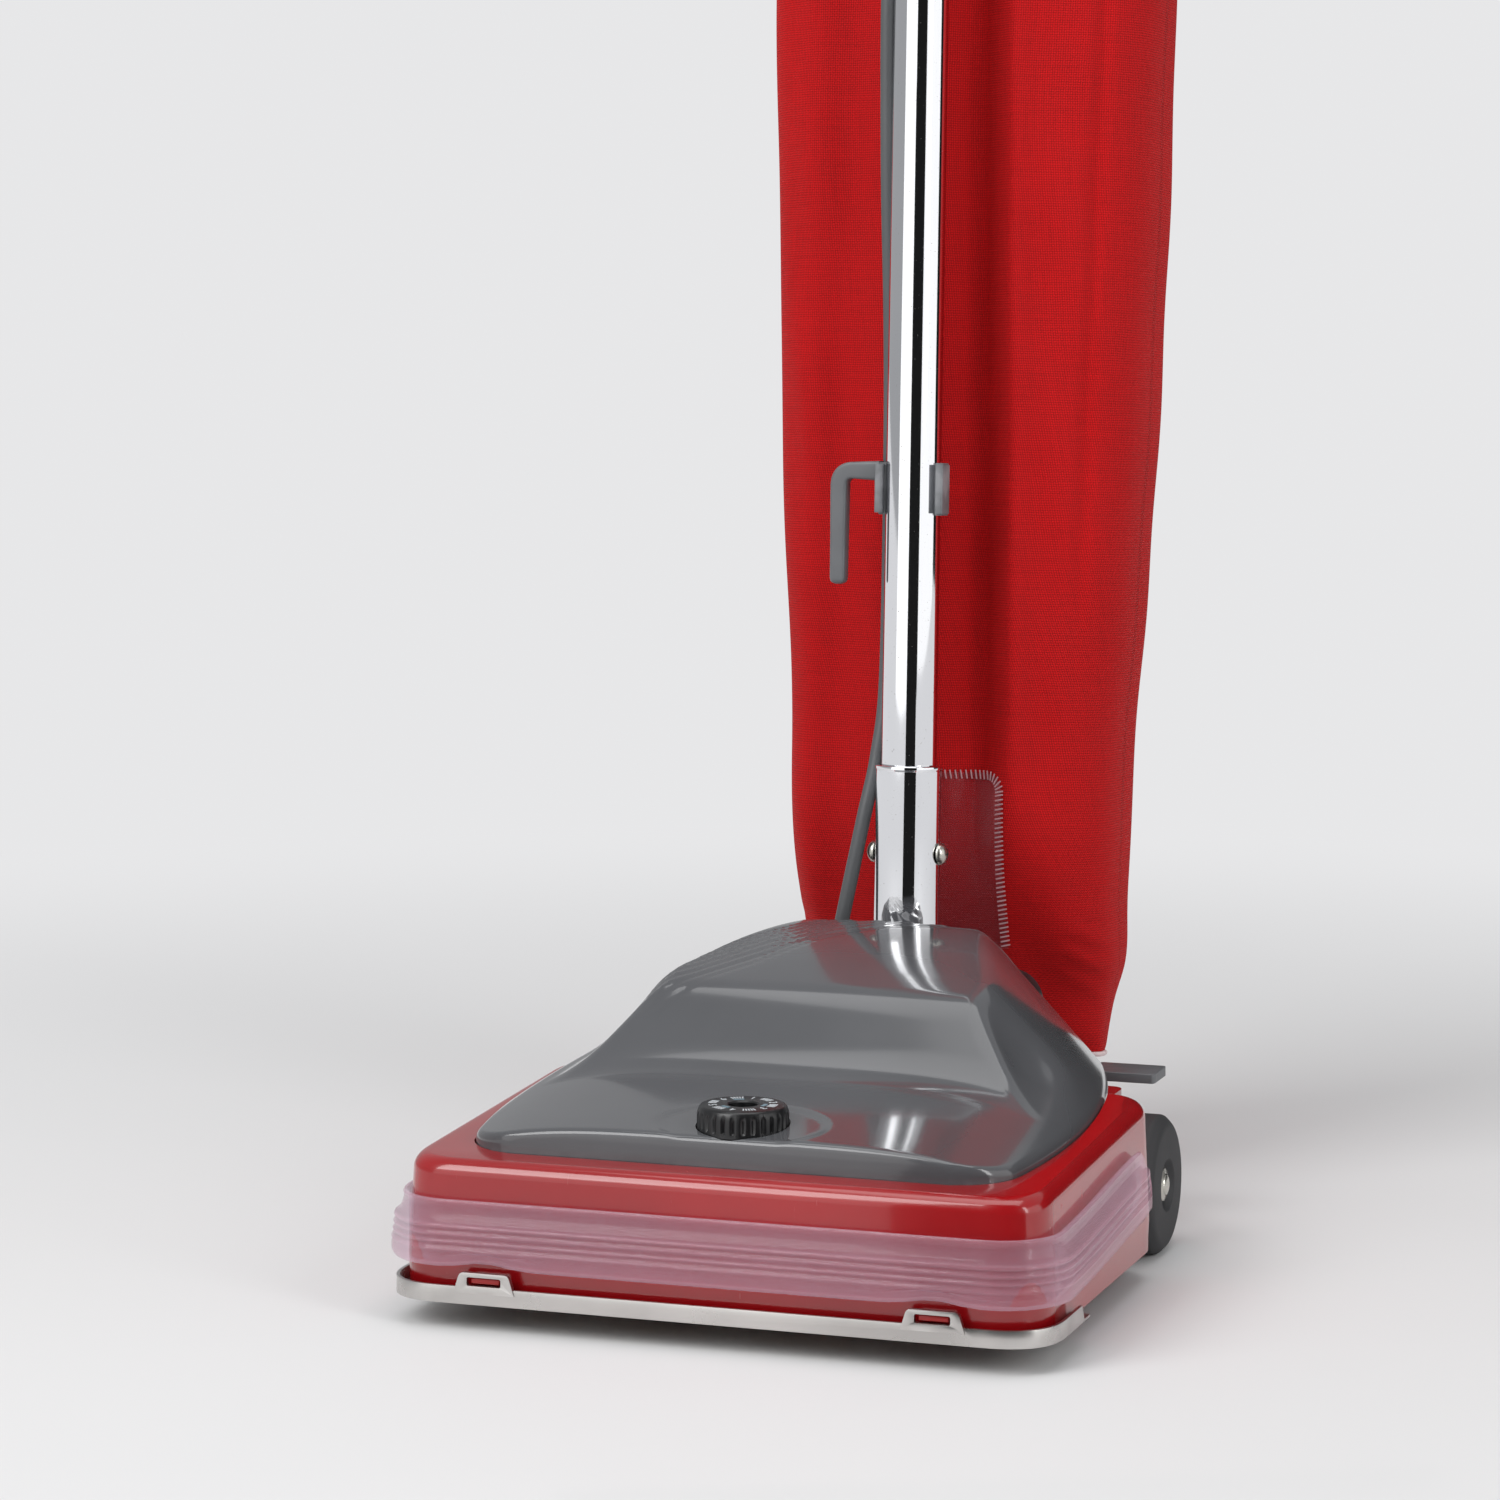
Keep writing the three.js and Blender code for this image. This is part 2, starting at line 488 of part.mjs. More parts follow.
function rearAxle(side) {
  const { x, width, r, bore } = REAR_WHEEL;
  const outer = x + width;
  const made = join(cylinder("x", bore, 101, outer - 2.4, [0, r], 20),
    turned([[0, outer - 3.4], [8, outer - 3.4], [8, outer - 2.4], [5, outer - 1], [0, outer - 0.4]], "x", [0, r], 20));
  return side > 0 ? made : mirrorX(made);
}

function carriage() {
  const { y, z, half } = CARRIAGE;
  const wheelY = FRONT_WHEEL.y;
  const wheelZ = FRONT_WHEEL.r;
  const shaft = cylinder("x", 3, -half, half, [y, z], 14);
  const arms = [1, -1].map((s) => sideSlab([[y - 5, z + 4], [y + 5, z + 4], [y + 5, z - 5], [wheelY + 6, wheelZ - 4],
    [wheelY - 5, wheelZ - 4], [wheelY - 5, wheelZ + 6]], s * 45 - 1.2, s * 45 + 1.2));
  const axle = cylinder("x", 2.2, -70, 70, [wheelY, wheelZ], 12);
  const middleOut = box(-43, 43, wheelY - 5, wheelY + 5, 5, 22);
  const finger = sideSlab([[y + 5, z + 5], [y + 5, z - 2], [y - 4, z - 2], [-183, 63.4], [-193, 63.4], [-193, 70.4],
    [-189, 70.4], [-182, 66.4], [y - 6, z + 5]], -4, 4);
  return join(shaft, ...arms, axle.subtract(middleOut), finger);
}

function frontWheel(side) {
  const { x, width, r, y, bore } = FRONT_WHEEL;
  const profile = [[bore, 0], [r - 1.5, 0], [r, 1.5], [r, width - 1.5], [r - 1.5, width], [bore, width], [bore, 0]];
  const made = turned(profile.map(([q, h]) => [q, h + x - width / 2]), "x", [y, r], 24);
  return side > 0 ? made : mirrorX(made);
}

// The knob's skirt ends in a spiral ramp that presses on the carriage's finger.
function knob() {
  const { y, r, top, skirt, low, turn, travel } = KNOB;
  const flutes = 24;
  const ring = (rr, h, depth) => Array.from({ length: flutes * 2 }, (_, i) => {
    const q = rr - (i % 2 ? depth : 0);
    const a = (i / (flutes * 2)) * 2 * Math.PI;
    return new THREE.Vector3(q * Math.cos(a), y + q * Math.sin(a), h);
  });
  const grip = loft([ring(r, skirt, 0), ring(r, skirt + 2, 0.9), ring(r, top - 3, 0.9), ring(r - 2, top, 0)]);
  const steps = 12;
  const ramp = loft(Array.from({ length: steps + 1 }, (_, i) => {
    const t = lerp(-1, 1, i / steps);
    const a = THREE.MathUtils.degToRad(t * turn) + Math.PI / 2;
    return [[11, low + travel * t], [17.5, low + travel * t], [17.5, skirt + 1], [11, skirt + 1]].map(([q, h]) =>
      new THREE.Vector3(q * Math.cos(a), y + q * Math.sin(a), h));
  }));
  const stem = cylinder("z", 4, 68, skirt + 2, [0, y], 16);
  return cut(join(grip, ramp, stem), cylinder("z", 7, top - 8, top + 5, [0, y], 20));
}

// ---------------------------------------------------------------- pedal, duct, cord
function pedal() {
  const { y, z, pivotX, tip } = PEDAL;
  const tread = slab(shapeOf(roundedRect(pivotX + 8, tip, y - 14, y + 14, 8)), z - 1, z + 4);
  const lip = slab(shapeOf(roundedRect(pivotX + 10, tip - 2, y - 12, y + 12, 7)), z - 4, z);
  const bar = box(27, pivotX + 14, y - 5, y + 5, z - 4, z + 2);
  const hub = cylinder("y", 5.5, y - 6, y + 6, [pivotX, z], 16);
  const pawl = box(23.7, 32, y - 10, y + 4.4, z - 4, z + 2);
  const bore = cylinder("y", 2.6, y - 20, y + 20, [pivotX, z], 12);
  return cut(join(tread, lip, bar, hub, pawl), bore);
}

function exhaustDuct() {
  const { x, y, r, wall, mouthZ } = DUCT;
  const bend = (q) => {
    const rings = [];
    const circle = (cy, cz, tilt) => Array.from({ length: 18 }, (_, i) => {
      const a = (i / 18) * 2 * Math.PI;
      return new THREE.Vector3(x + q * Math.cos(a), cy + q * Math.sin(a) * Math.cos(tilt),
        cz - q * Math.sin(a) * Math.sin(tilt));
    });
    rings.push(circle(y, q < r ? 50 : TAIL.top + GAP, 0), circle(y, mouthZ - 24, 0));
    for (let i = 1; i <= 5; i++) {
      const t = (i / 5) * (Math.PI / 2) * 0.92;
      rings.push(circle(y + 24 * (1 - Math.cos(t)), mouthZ - 24 + 24 * Math.sin(t), t));
    }
    const last = (Math.PI / 2) * 0.92;
    const out = q < r ? 22 : 14;
    rings.push(circle(y + 24 * (1 - Math.cos(last)) + out * Math.sin(last),
      mouthZ - 24 + 24 * Math.sin(last) + out * Math.cos(last), last));
    return loft(rings);
  };
  return bend(r).subtract(bend(r - wall));
}

// The supply cord leaves the tail on the left and runs up beside the tube, through both hook clips.
const LOWER_CORD = [[-44, 46, 48], [-44, 45, 90], [-38, 42, 125], [-28, 39, 149.5]];
const UPPER_CORD = [[-27, -8, 92], [-23.5, -3, 136], [-19.6, 8, 172], [-17.6, 14.8, 215], [-17.6, 14.8, 330],
  [-16.5, 8, 400], [-17.9, 2.6, 487], [-18.4, 1, 600], [-17.8, 15, 770], [-17.8, 15, 812], [-19, -4, 832],
  [-9, -19, 853]];

// ---------------------------------------------------------------- handle, in its own frame from the pivot
function bail() {
  const arm = (x0, x1, latching) => {
    const profile = latching
      ? [[-11, -6], [-6, -11], [6, -11], [11, -6], [20, -1], [22, 3], [17.5, 5], [17.5, 14], [20.5, 15.5],
        [19, 20], [13, 28], [13, 50], [-13, 50], [-13, 8]]
      : [[-11, -6], [-6, -11], [6, -11], [11, -6], [13, 8], [13, 50], [-13, 50], [-13, 8]];
    return sideSlab(profile, x0, x1);
  };
  const bridge = cylinder("z", 17, 45, 50.2, [0, 0], 20);
  const shoulders = box(-22.6, 22.6, -13, 13, 45, 50);
  const bore = cylinder("x", 4.6, -30, 30, [0, 0], 16);
  const spigot = pipe("z", 13.9, 11.5, 49.5, 61, [0, 0], 20);
  return cut(join(arm(19.6, 22.6, true), arm(-22.6, -19.6, false), bridge, shoulders, spigot), bore,
    cylinder("z", 11.5, 40, 70, [0, 0], 20));
}

function cordHook(z, direction) {
  const r = TUBE.r + GAP;
  const clip = cut(pipe("z", r + 4.2, r, z - 14, z + 14, [0, 0], 28), box(-30, 30, -40, -5, z - 20, z + 20));
  const jaw = box(-24, -16.5, -5, 6, z - 12, z + 12);
  const arm = box(-44, -20, -4.5, 4.5, z + direction * 9 - 5, z + direction * 9 + 5);
  const tipZ = z - direction * 50;
  const leg = box(-44, -35.5, -4.5, 4.5, Math.min(tipZ, z + direction * 12), Math.max(tipZ, z + direction * 12));
  const knobEnd = cylinder("y", 4.25, -4.5, 4.5, [-39.75, tipZ], 16);
  return join(clip, jaw.subtract(cylinder("z", r, z - 20, z + 20, [0, 0], 28)), arm, leg, knobEnd);
}

// Upper hook: the clip stays, and the hook turns about its own arm to let the cord loops drop.
const UPPER_HOOK = { z: 790, y: 0 };
function upperClip() {
  const r = TUBE.r + GAP;
  const { z } = UPPER_HOOK;
  const clip = cut(pipe("z", r + 4.2, r, z - 12, z + 12, [0, 0], 28), box(-30, 30, -40, -5, z - 20, z + 20));
  const boss = cylinder("x", 7, -24, -17.5, [0, z], 20);
  const pin = cylinder("x", 3, -31, -23, [0, z], 14);
  return join(clip, boss.subtract(cylinder("z", r, z - 20, z + 20, [0, 0], 28)), pin);
}

function upperHook() {
  const { z } = UPPER_HOOK;
  const arm = cylinder("x", 6, -46, -24.5, [0, z], 20);
  const leg = box(-46, -37.5, -4.5, 4.5, z, z + 54);
  const end = cylinder("y", 4.25, -4.5, 4.5, [-41.75, z + 54], 16);
  return cut(join(arm, leg, end), cylinder("x", 3 + RUN, -32, -20, [0, z], 14));
}

const GRIP_PATH = [[0, 0, TUBE.bend - 10], [0, 2, TUBE.bend + 20], [0, 17, TUBE.bend + 61], [0, 46, TUBE.bend + 100],
  [0, 88, TUBE.bend + 130], [0, 140, TUBE.bend + 147]];

const GRIP_BORE = [[0, 0, TUBE.bend - 20], ...GRIP_PATH.slice(1), [0, 190, TUBE.bend + 160]];

function upperTube() {
  const neck = cylinder("z", TUBE.r - TUBE.wall - GAP, TUBE.joint - 40, TUBE.joint + 1, [0, 0], 24);
  const straight = cylinder("z", TUBE.r, TUBE.joint + GAP, TUBE.bend - 9, [0, 0], 24);
  const bent = rod(GRIP_PATH, TUBE.r, 10, 8);
  const bore = cylinder("z", 10.8, TUBE.joint - 50, TUBE.bend, [0, 0], 16);
  const wide = cylinder("z", TUBE.r - TUBE.wall, TUBE.joint + 4, TUBE.bend - 8, [0, 0], 16);
  return cut(join(neck, straight, bent), bore, wide, rod(GRIP_BORE, TUBE.r - 2, 10, 5));
}

function grip() {
  const curve = new THREE.CatmullRomCurve3(GRIP_PATH.map((p) => new THREE.Vector3(...p)));
  const points = [0.34, 0.5, 0.66, 0.82, 1].map((t) => curve.getPoint(t));
  const end = points[4].clone().add(curve.getTangent(1).multiplyScalar(9));
  const outer = rod([...points, end].map((p) => p.toArray()), TUBE.r + 4, 9, 7);
  return outer.subtract(rod(GRIP_PATH, TUBE.r + 0.6, 10, 8));
}

const SWITCH = { z: 890, half: 13 };
function switchBox() {
  const { z, half } = SWITCH;
  const shell = box(-half, half, -32, -8, z - 32, z + 32).subtract(cylinder("z", TUBE.r + GAP, z - 40, z + 40, [0, 0], 28));
  return cut(shell, box(-8.5, 8.5, -40, -24, z - 13, z + 13));
}

function rocker() {
  const { z } = SWITCH;
  const outline = [[-25.2, z - 8], [-25.2, z + 8], [-33, z + 11], [-35.5, z + 11], [-33, z], [-34, z - 11],
    [-32, z - 11]];
  return sideSlab(outline, -7.6, 7.6);
}

// ---------------------------------------------------------------- bag, in the handle's frame
// Height above the pivot, half-width, nearest and farthest y of the cloth.
const BAG = [[12, 78, 90, 114], [16, 78.5, 87, 121], [24, 79, 81, 130], [40, 80.5, 74, 140],
  [70, 84.5, 57, 149], [105, 87.5, 42, 154], [190, 90.5, 38, 160], [310, 98, 36, 166], [480, 104, 35, 168], [600, 107, 36, 162], [720, 100, 40, 146],
  [800, 86, 46, 120], [850, 76, 54, 96], [880, 70, 64, 78]];

function bagSize(z) {
  const k = Math.min(Math.max(BAG.findIndex((row) => row[0] >= z), 1), BAG.length - 1);
  const [below, above] = [BAG[k - 1], BAG[k]];
  const t = (z - below[0]) / (above[0] - below[0]);
  return [1, 2, 3].map((i) => lerp(below[i], above[i], t));
}

// The bag's outer form between two heights, made smaller all round by inset.
function bagForm(inset, low, high) {
  const n = 18;
  const heights = [low, ...BAG.map((row) => row[0]).filter((z) => z > low + 4 && z < high - 4), high];
  return loft(heights.map((z) => {
    const [half, near, far] = bagSize(z);
    const [a, b, c] = [half - inset, (far - near) / 2 - inset, (far + near) / 2];
    return Array.from({ length: n }, (_, i) => {
      const t = (i / n) * 2 * Math.PI;
      const e = (v) => Math.sign(v) * Math.abs(v) ** 0.72;
      return new THREE.Vector3(a * e(Math.cos(t)), c + b * e(Math.sin(t)), z);
    });
  }));
}

const INLET = { x: DUCT.x, z: 50, r: DUCT.r + 4 };
function outerBag() {
  const clear = cylinder("x", 76, -130, 130, [0, 0], 32);
  const mouth = cylinder("y", INLET.r, 20, 96, [INLET.x, INLET.z], 20);
  return cut(bagForm(0, 12, 880), bagForm(1.8, 40, 872), mouth, clear);
}

// The throw-away paper bag inside, open at the collar that slips over the duct.
function paperBag() {
  const mouth = cylinder("y", 15, 20, 100, [INLET.x, 128], 18);
  return cut(bagForm(9, 108, 640), bagForm(10.4, 110, 638), mouth);
}

// Clear pocket sewn to the front of the bag, to the right of the tube.
const POCKET = { left: -8, right: 38, low: 70, high: 162, y: 36, corner: 14 };
function pocket() {
  const { left, right, low, high, y, corner } = POCKET;
  const outline = [[left, low], [right, low], [right, high - corner], [right - corner * 0.3, high - corner * 0.3],
    [right - corner, high], [left, high]];
  const g = new THREE.ExtrudeGeometry(new THREE.Shape(outline.map(([u, v]) => new THREE.Vector2(u, v))),
    { depth: 1, bevelEnabled: false });
  return solid(g.rotateX(Math.PI / 2).translate(0, y, 0));
}

// Strap round the tube with an arm reaching back over the bag, for the spring to hang from.
function bagHanger() {
  const strap = pipe("z", TUBE.r + 3.2, TUBE.r + GAP, 925, 940, [0, 0], 24);
  const arm = box(-4, 4, 15.5, 72, 935, 940).subtract(cylinder("z", TUBE.r + GAP, 900, 950, [0, 0], 24));
  const drop = box(-3, 3, 69, 72, 930, 936);
  return join(strap, arm, drop);
}

function bagSpring() {
  const turns = 4;
  const points = Array.from({ length: turns * 8 + 1 }, (_, i) => {
    const a = (i / 8) * 2 * Math.PI;
    return [5 * Math.cos(a), 66 + 5 * Math.sin(a), 899 + (i / 8) * 7.6];
  });
  return rod(points, 0.8, turns * 8, 2);
}

// ---------------------------------------------------------------- assembly
hood();
add("base_housing", housing(), RED);
add("furniture_guard", bumper(), VINYL);
add("bottom_plate", bottomPlate(), STEEL);
add("plate_latch_right", latch(1), STEEL);
add("plate_latch_left", latch(-1), STEEL);
add("brush_roll", brushRoll(), STEEL);
for (const [name, s] of [["right", 1], ["left", -1]]) {
  const ends = [s * (BRUSH.half + 1), s * 151].sort((a, b) => a - b);
  add(`bristle_strip_a_${name}`, bristles(s, 0), BRISTLE);
  add(`bristle_strip_b_${name}`, bristles(s, Math.PI), BRISTLE);
  add(`brush_bearing_${name}`, pipe("x", 9.6, 4 + GAP, ...ends, [BRUSH.y, BRUSH.z], 20), BLACK);
  add(`rear_wheel_${name}`, rearWheel(s), RUBBER);
  add(`rear_axle_${name}`, rearAxle(s), STEEL);
  add(`front_wheel_${name}`, frontWheel(s), BLACK);
  add(`brush_holder_${name}`, brushHolder(s), BLACK);
  add(`carbon_brush_${name}`, carbonBrush(s), RUBBER);
}
add("drive_belt", belt(), RUBBER);
add("motor_field", stator(), COPPER);
add("motor_frame", motorFrame(), STEEL);
add("armature", armature(), COPPER);
add("fan_impeller", impeller(), BLACK);
add("motor_pulley", pulley(), STEEL);
add("fan_cover", fanCover(), BLACK);
add("top_bearing", pipe("z", 8.3, MOTOR.shaftR + GAP, 119.5, 125.5, [0, MOTOR.y], 20), STEEL);
add("lower_bearing", pipe("z", 13.6, MOTOR.shaftR + GAP, 49.8, 58, [0, MOTOR.y], 20), STEEL);
add("wheel_carriage", carriage(), STEEL);
add("height_knob", knob(), BLACK);
add("release_pedal", pedal(), GREY);
add("pedal_pin", cylinder("y", 2.3, PEDAL.y - 11, PEDAL.y + 11, [PEDAL.pivotX, PEDAL.z], 14), STEEL);
add("exhaust_duct", exhaustDuct(), BLACK);
add("strain_relief", pipe("z", 5.6, 4.3, 52, 74, [-44, 46], 16), BLACK);
add("power_cord_lower", rod(LOWER_CORD, 3.6, 10, 4), CORD);
add("handle_pivot_pin", cylinder("x", 4.2, -25, 25, [PIVOT.y, PIVOT.z], 18), STEEL);

add("handle_bail", bail(), CHROME, handle);
const screwHoles = cylinder("x", 2.9, -40, 40, [0, SOCKET.screwZ], 14);
add("lower_socket", pipe("z", SOCKET.r, TUBE.r + GAP, SOCKET.low, SOCKET.top, [0, 0], 32).subtract(screwHoles),
  CHROME, handle);
add("main_tube", pipe("z", TUBE.r, TUBE.r - TUBE.wall, TUBE.low, TUBE.joint, [0, 0], 32).subtract(screwHoles),
  CHROME, handle);
for (const [name, s] of [["right", 1], ["left", -1]]) {
  const head = turned([[0, 9], [2.5, 9], [2.5, 17.4], [5.4, 17.4], [5.4, 18.6], [3.6, 20.8], [0, 21.4]], "x",
    [0, SOCKET.screwZ], 18);
  add(`socket_screw_${name}`, s > 0 ? head : mirrorX(head), STEEL, handle);
}
add("lower_cord_hook", cordHook(310, 1), GREY_MATT, handle);
add("upper_hook_clip", upperClip(), GREY_MATT, handle);
add("upper_cord_hook", upperHook(), GREY_MATT, handle);
add("upper_tube", upperTube(), CHROME, handle);
add("hand_grip", grip(), GREY_MATT, handle);
add("switch_housing", switchBox(), BLACK, handle);
add("switch_rocker", rocker(), BLACK, handle);
add("power_cord_upper", rod(UPPER_CORD, 3.6, 30, 4), CORD, handle);
add("bag_cloth", outerBag(), CLOTH, handle);
add("paper_bag", paperBag(), PAPER, handle);
add("bag_pocket", pocket(), VINYL, handle);
add("bag_hanger", bagHanger(), STEEL, handle);
add("bag_spring", bagSpring(), STEEL, handle);
add("bag_clip", cut(box(-76, 76, 60, 82, 880.5, 896), box(-80, 80, 68, 74, 870, 885)), GREY_MATT, handle);

export default machine;
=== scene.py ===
import json
import math

import bmesh
import bpy
import numpy as np
from mathutils import Matrix, Vector


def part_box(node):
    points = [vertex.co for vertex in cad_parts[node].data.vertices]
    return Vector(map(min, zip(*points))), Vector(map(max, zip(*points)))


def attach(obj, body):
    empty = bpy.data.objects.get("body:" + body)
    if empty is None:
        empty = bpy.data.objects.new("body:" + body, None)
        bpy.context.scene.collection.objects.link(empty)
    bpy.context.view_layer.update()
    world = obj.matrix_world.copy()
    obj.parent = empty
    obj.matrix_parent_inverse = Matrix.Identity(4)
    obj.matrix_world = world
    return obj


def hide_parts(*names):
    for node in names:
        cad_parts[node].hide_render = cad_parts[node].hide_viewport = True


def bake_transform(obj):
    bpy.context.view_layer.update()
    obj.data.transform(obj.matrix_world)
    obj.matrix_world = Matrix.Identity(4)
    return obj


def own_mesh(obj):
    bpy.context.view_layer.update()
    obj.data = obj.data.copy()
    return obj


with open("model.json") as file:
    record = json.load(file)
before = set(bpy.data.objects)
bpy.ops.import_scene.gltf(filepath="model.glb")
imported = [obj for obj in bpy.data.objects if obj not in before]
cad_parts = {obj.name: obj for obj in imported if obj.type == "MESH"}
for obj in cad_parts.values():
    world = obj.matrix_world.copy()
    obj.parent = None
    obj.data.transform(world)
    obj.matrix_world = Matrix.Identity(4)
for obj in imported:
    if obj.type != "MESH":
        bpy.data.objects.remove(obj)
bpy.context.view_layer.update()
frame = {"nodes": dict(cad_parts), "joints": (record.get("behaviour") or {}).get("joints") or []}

# The upright vacuum cleaner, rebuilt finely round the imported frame. Shapes are in millimetres until raw()
# turns them into metres. +Z is up and the front of the nozzle faces -Y.
MM = 0.001


def smooth(v, a, b):
    t = np.clip((v - a) / (b - a), 0, 1)
    return t * t * (3 - 2 * t)


def soft_min(a, b, k):
    h = np.maximum(k - np.abs(a - b), 0) / k
    return np.minimum(a, b) - h * h * k / 4


def soft_max(a, b, k):
    return -soft_min(-a, -b, k)


def bell(v, centre, width):
    return np.exp(-(((v - centre) / width) ** 2))


def lo(node):
    return Vector(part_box(node)[0]) / MM


def hi(node):
    return Vector(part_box(node)[1]) / MM


def mid(node):
    return (lo(node) + hi(node)) / 2


# ------------------------------------------------------------------ places taken from the frame
PIVOT = Vector(next(j for j in frame["joints"] if j["name"] == "handle_tilt")["pos_m"]) / MM
LEAN = math.radians(3.2)
HANDLE = Matrix.Translation(PIVOT) @ Matrix.Rotation(-LEAN, 4, "X")  # handle's own frame to the row frame
KNOB = mid("height_knob")
KNOB_TOP = hi("height_knob").z
MOTOR = mid("motor_field")
BRUSH = mid("brush_roll")
AXLE_Y, AXLE_Z = mid("rear_wheel_right").y, mid("rear_wheel_right").z
FRONT_WHEEL = mid("front_wheel_right")
DUCT_X = mid("exhaust_duct").x
PLATE_LOW = lo("bottom_plate").z
HOOD_FRONT, HOOD_REAR = lo("hood").y, hi("hood").y
HOOD_LONG = HOOD_REAR - HOOD_FRONT
HOOD_FOOT = lo("hood").z
KNOB_R = (hi("height_knob").x - lo("height_knob").x) / 2

# ------------------------------------------------------------------ places shared by several pieces
KNOB_SKIRT, STEM_HOLE = 89.5, 18.8  # height of the knob's lower edge, and radius of the hole below it
SIDES = (("right", 1), ("left", -1))
LOOP_X = 107.5  # middle of the plate's square loops and of the casting's tabs in them
PEDAL_PIN = (84, 0, 72)
PIN_HOLE = 2.6
PIVOT_HOLE = 4.6
CORD_X, CORD_Y = -44, 46  # where the cord leaves the base
DUCT_Y = 44
TUBE_R = 14.3
SCREW_Z, LOWER_HOOK_Z, UPPER_HOOK_Z = 123, 310, 790  # in the handle's frame, as is all that follows
TUBE_FOOT, TUBE_JOINT = 62, 640
BAG_TOP = 880


def sided(s, a, b):
    """Two distances from the middle, as places on side s with the lower first."""
    return sorted((s * a, s * b))


# ------------------------------------------------------------------ meshes
def added(name, data):
    obj = bpy.data.objects.new(name, data)
    bpy.context.scene.collection.objects.link(obj)
    return obj


def raw(name, verts, faces, handle=False, uv=None):
    """A mesh object from millimetre points, with its faces turned outwards."""
    mesh = bpy.data.meshes.new(name)
    mesh.from_pydata([tuple(MM * float(c) for c in v) for v in verts], [], [tuple(f) for f in faces])
    if uv is not None:
        layer = mesh.uv_layers.new(name="metres")
        for loop in mesh.loops:
            layer.data[loop.index].uv = uv[loop.vertex_index]
    if handle:
        local = HANDLE.copy()
        local.translation *= MM
        mesh.transform(local)
    bm = bmesh.new()
    bm.from_mesh(mesh)
    bmesh.ops.recalc_face_normals(bm, faces=bm.faces)
    bm.to_mesh(mesh)
    bm.free()
    return added(name, mesh)


def bake(obj):
    """Applies the object's modifiers."""
    graph = bpy.context.evaluated_depsgraph_get()
    graph.update()
    made = bpy.data.meshes.new_from_object(obj.evaluated_get(graph))
    obj.modifiers.clear()
    old, obj.data = obj.data, made
    bpy.data.meshes.remove(old)
    return obj


def combine(obj, others, operation):
    for other in others:
        step = obj.modifiers.new(operation, "BOOLEAN")
        step.object, step.operation, step.solver = other, operation, "EXACT"
    bake(obj)
    for other in others:
        bpy.data.objects.remove(other)
    return obj


def cut(obj, *tools):
    return combine(obj, tools, "DIFFERENCE")


def join(obj, *others):
    return combine(obj, others, "UNION")


def rounding(obj, width, segments, angle):
    step = obj.modifiers.new("round", "BEVEL")
    step.width, step.segments = width * MM, segments
    step.limit_method, step.angle_limit = "ANGLE", math.radians(angle)


def soften(obj, width, segments=3, angle=32):
    """Rounds the object's sharp edges."""
    rounding(obj, width, segments, angle)
    return bake(obj)


def place(obj, look, body, *nodes, angle=35, slot=None):
    """Gives a finished piece its material and its body, and hides the CAD nodes it stands for."""
    if not obj.data.polygons:
        raise ValueError(f"{obj.name} came out empty")
    obj.data.materials.clear()
    obj.data.materials.append(look)
    obj.data.shade_smooth()
    obj.data.set_sharp_from_angle(angle=math.radians(angle))
    if body:
        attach(obj, body)
    if nodes:
        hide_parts(*nodes)
    return obj


def skin(n, count, closed=False, first=0):
    """Faces over count rings of n points. closed joins the last ring to the first, else the ends get caps."""
    faces = []
    for k in range(count if closed else count - 1):
        for i in range(n):
            a, b = first + k * n + i, first + k * n + (i + 1) % n
            step = n if k < count - 1 else n - n * count
            faces.append((a, b, b + step, a + step))
    if not closed:
        end = first + n * count
        faces += [tuple(range(first, first + n))[::-1], tuple(range(end - n, end))]
    return faces


def loft(name, rings, handle=False, closed=False, uv=None):
    """A closed solid through rings of points."""
    faces = skin(len(rings[0]), len(rings), closed)
    return raw(name, [p for ring in rings for p in ring], faces, handle, uv)


def turned(name, profile, axis, centre, segments=64, handle=False):
    """A lathed piece. The profile holds (radius, place along the axis) pairs and may end on the axis."""
    verts, faces, rows = [], [], []
    for r, h in profile:
        if abs(r) < 1e-6:
            rows.append([len(verts)] * segments)
            verts.append((0, 0, h))
            continue
        rows.append(list(range(len(verts), len(verts) + segments)))
        for i in range(segments):
            a = 2 * math.pi * i / segments
            verts.append((r * math.cos(a), r * math.sin(a), h))
    loops = len(rows) if profile[0][0] > 1e-6 else len(rows) - 1
    for k in range(loops):
        one, two = rows[k], rows[(k + 1) % len(rows)]
        for i in range(segments):
            j = (i + 1) % segments
            face = list(dict.fromkeys((one[i], one[j], two[j], two[i])))
            if len(face) > 2:
                faces.append(face)
    turn = {"z": (0, 1, 2), "x": (2, 0, 1), "y": (1, 2, 0)}[axis]
    moved = [[v[k] + c for k, c in zip(turn, centre)] for v in verts]
    return raw(name, moved, faces, handle)


def fillet(points, radius, steps=5, closed=True):
    """The polygon or polyline with its corners rounded. radius is one number or one per point."""
    out, n = [], len(points)
    for i, p in enumerate(points):
        r = radius[i] if isinstance(radius, (list, tuple)) else radius
        if r <= 0 or (not closed and i in (0, n - 1)):
            out.append(tuple(p))
            continue
        here, before, after = Vector(p), Vector(points[i - 1]), Vector(points[(i + 1) % n])
        a, b = before - here, after - here
        half = a.angle(b) / 2
        reach = min(r / math.tan(half), 0.48 * a.length, 0.48 * b.length)
        a, b = a.normalized(), b.normalized()
        start, end = here + a * reach, here + b * reach
        for k in range(steps + 1):
            t = k / steps
            out.append(tuple((1 - t) ** 2 * start + 2 * t * (1 - t) * here + t * t * end))
    return out


def rounded_rect(x0, x1, y0, y1, r, steps=8):
    return fillet([(x1, y1), (x0, y1), (x0, y0), (x1, y0)], r, steps)


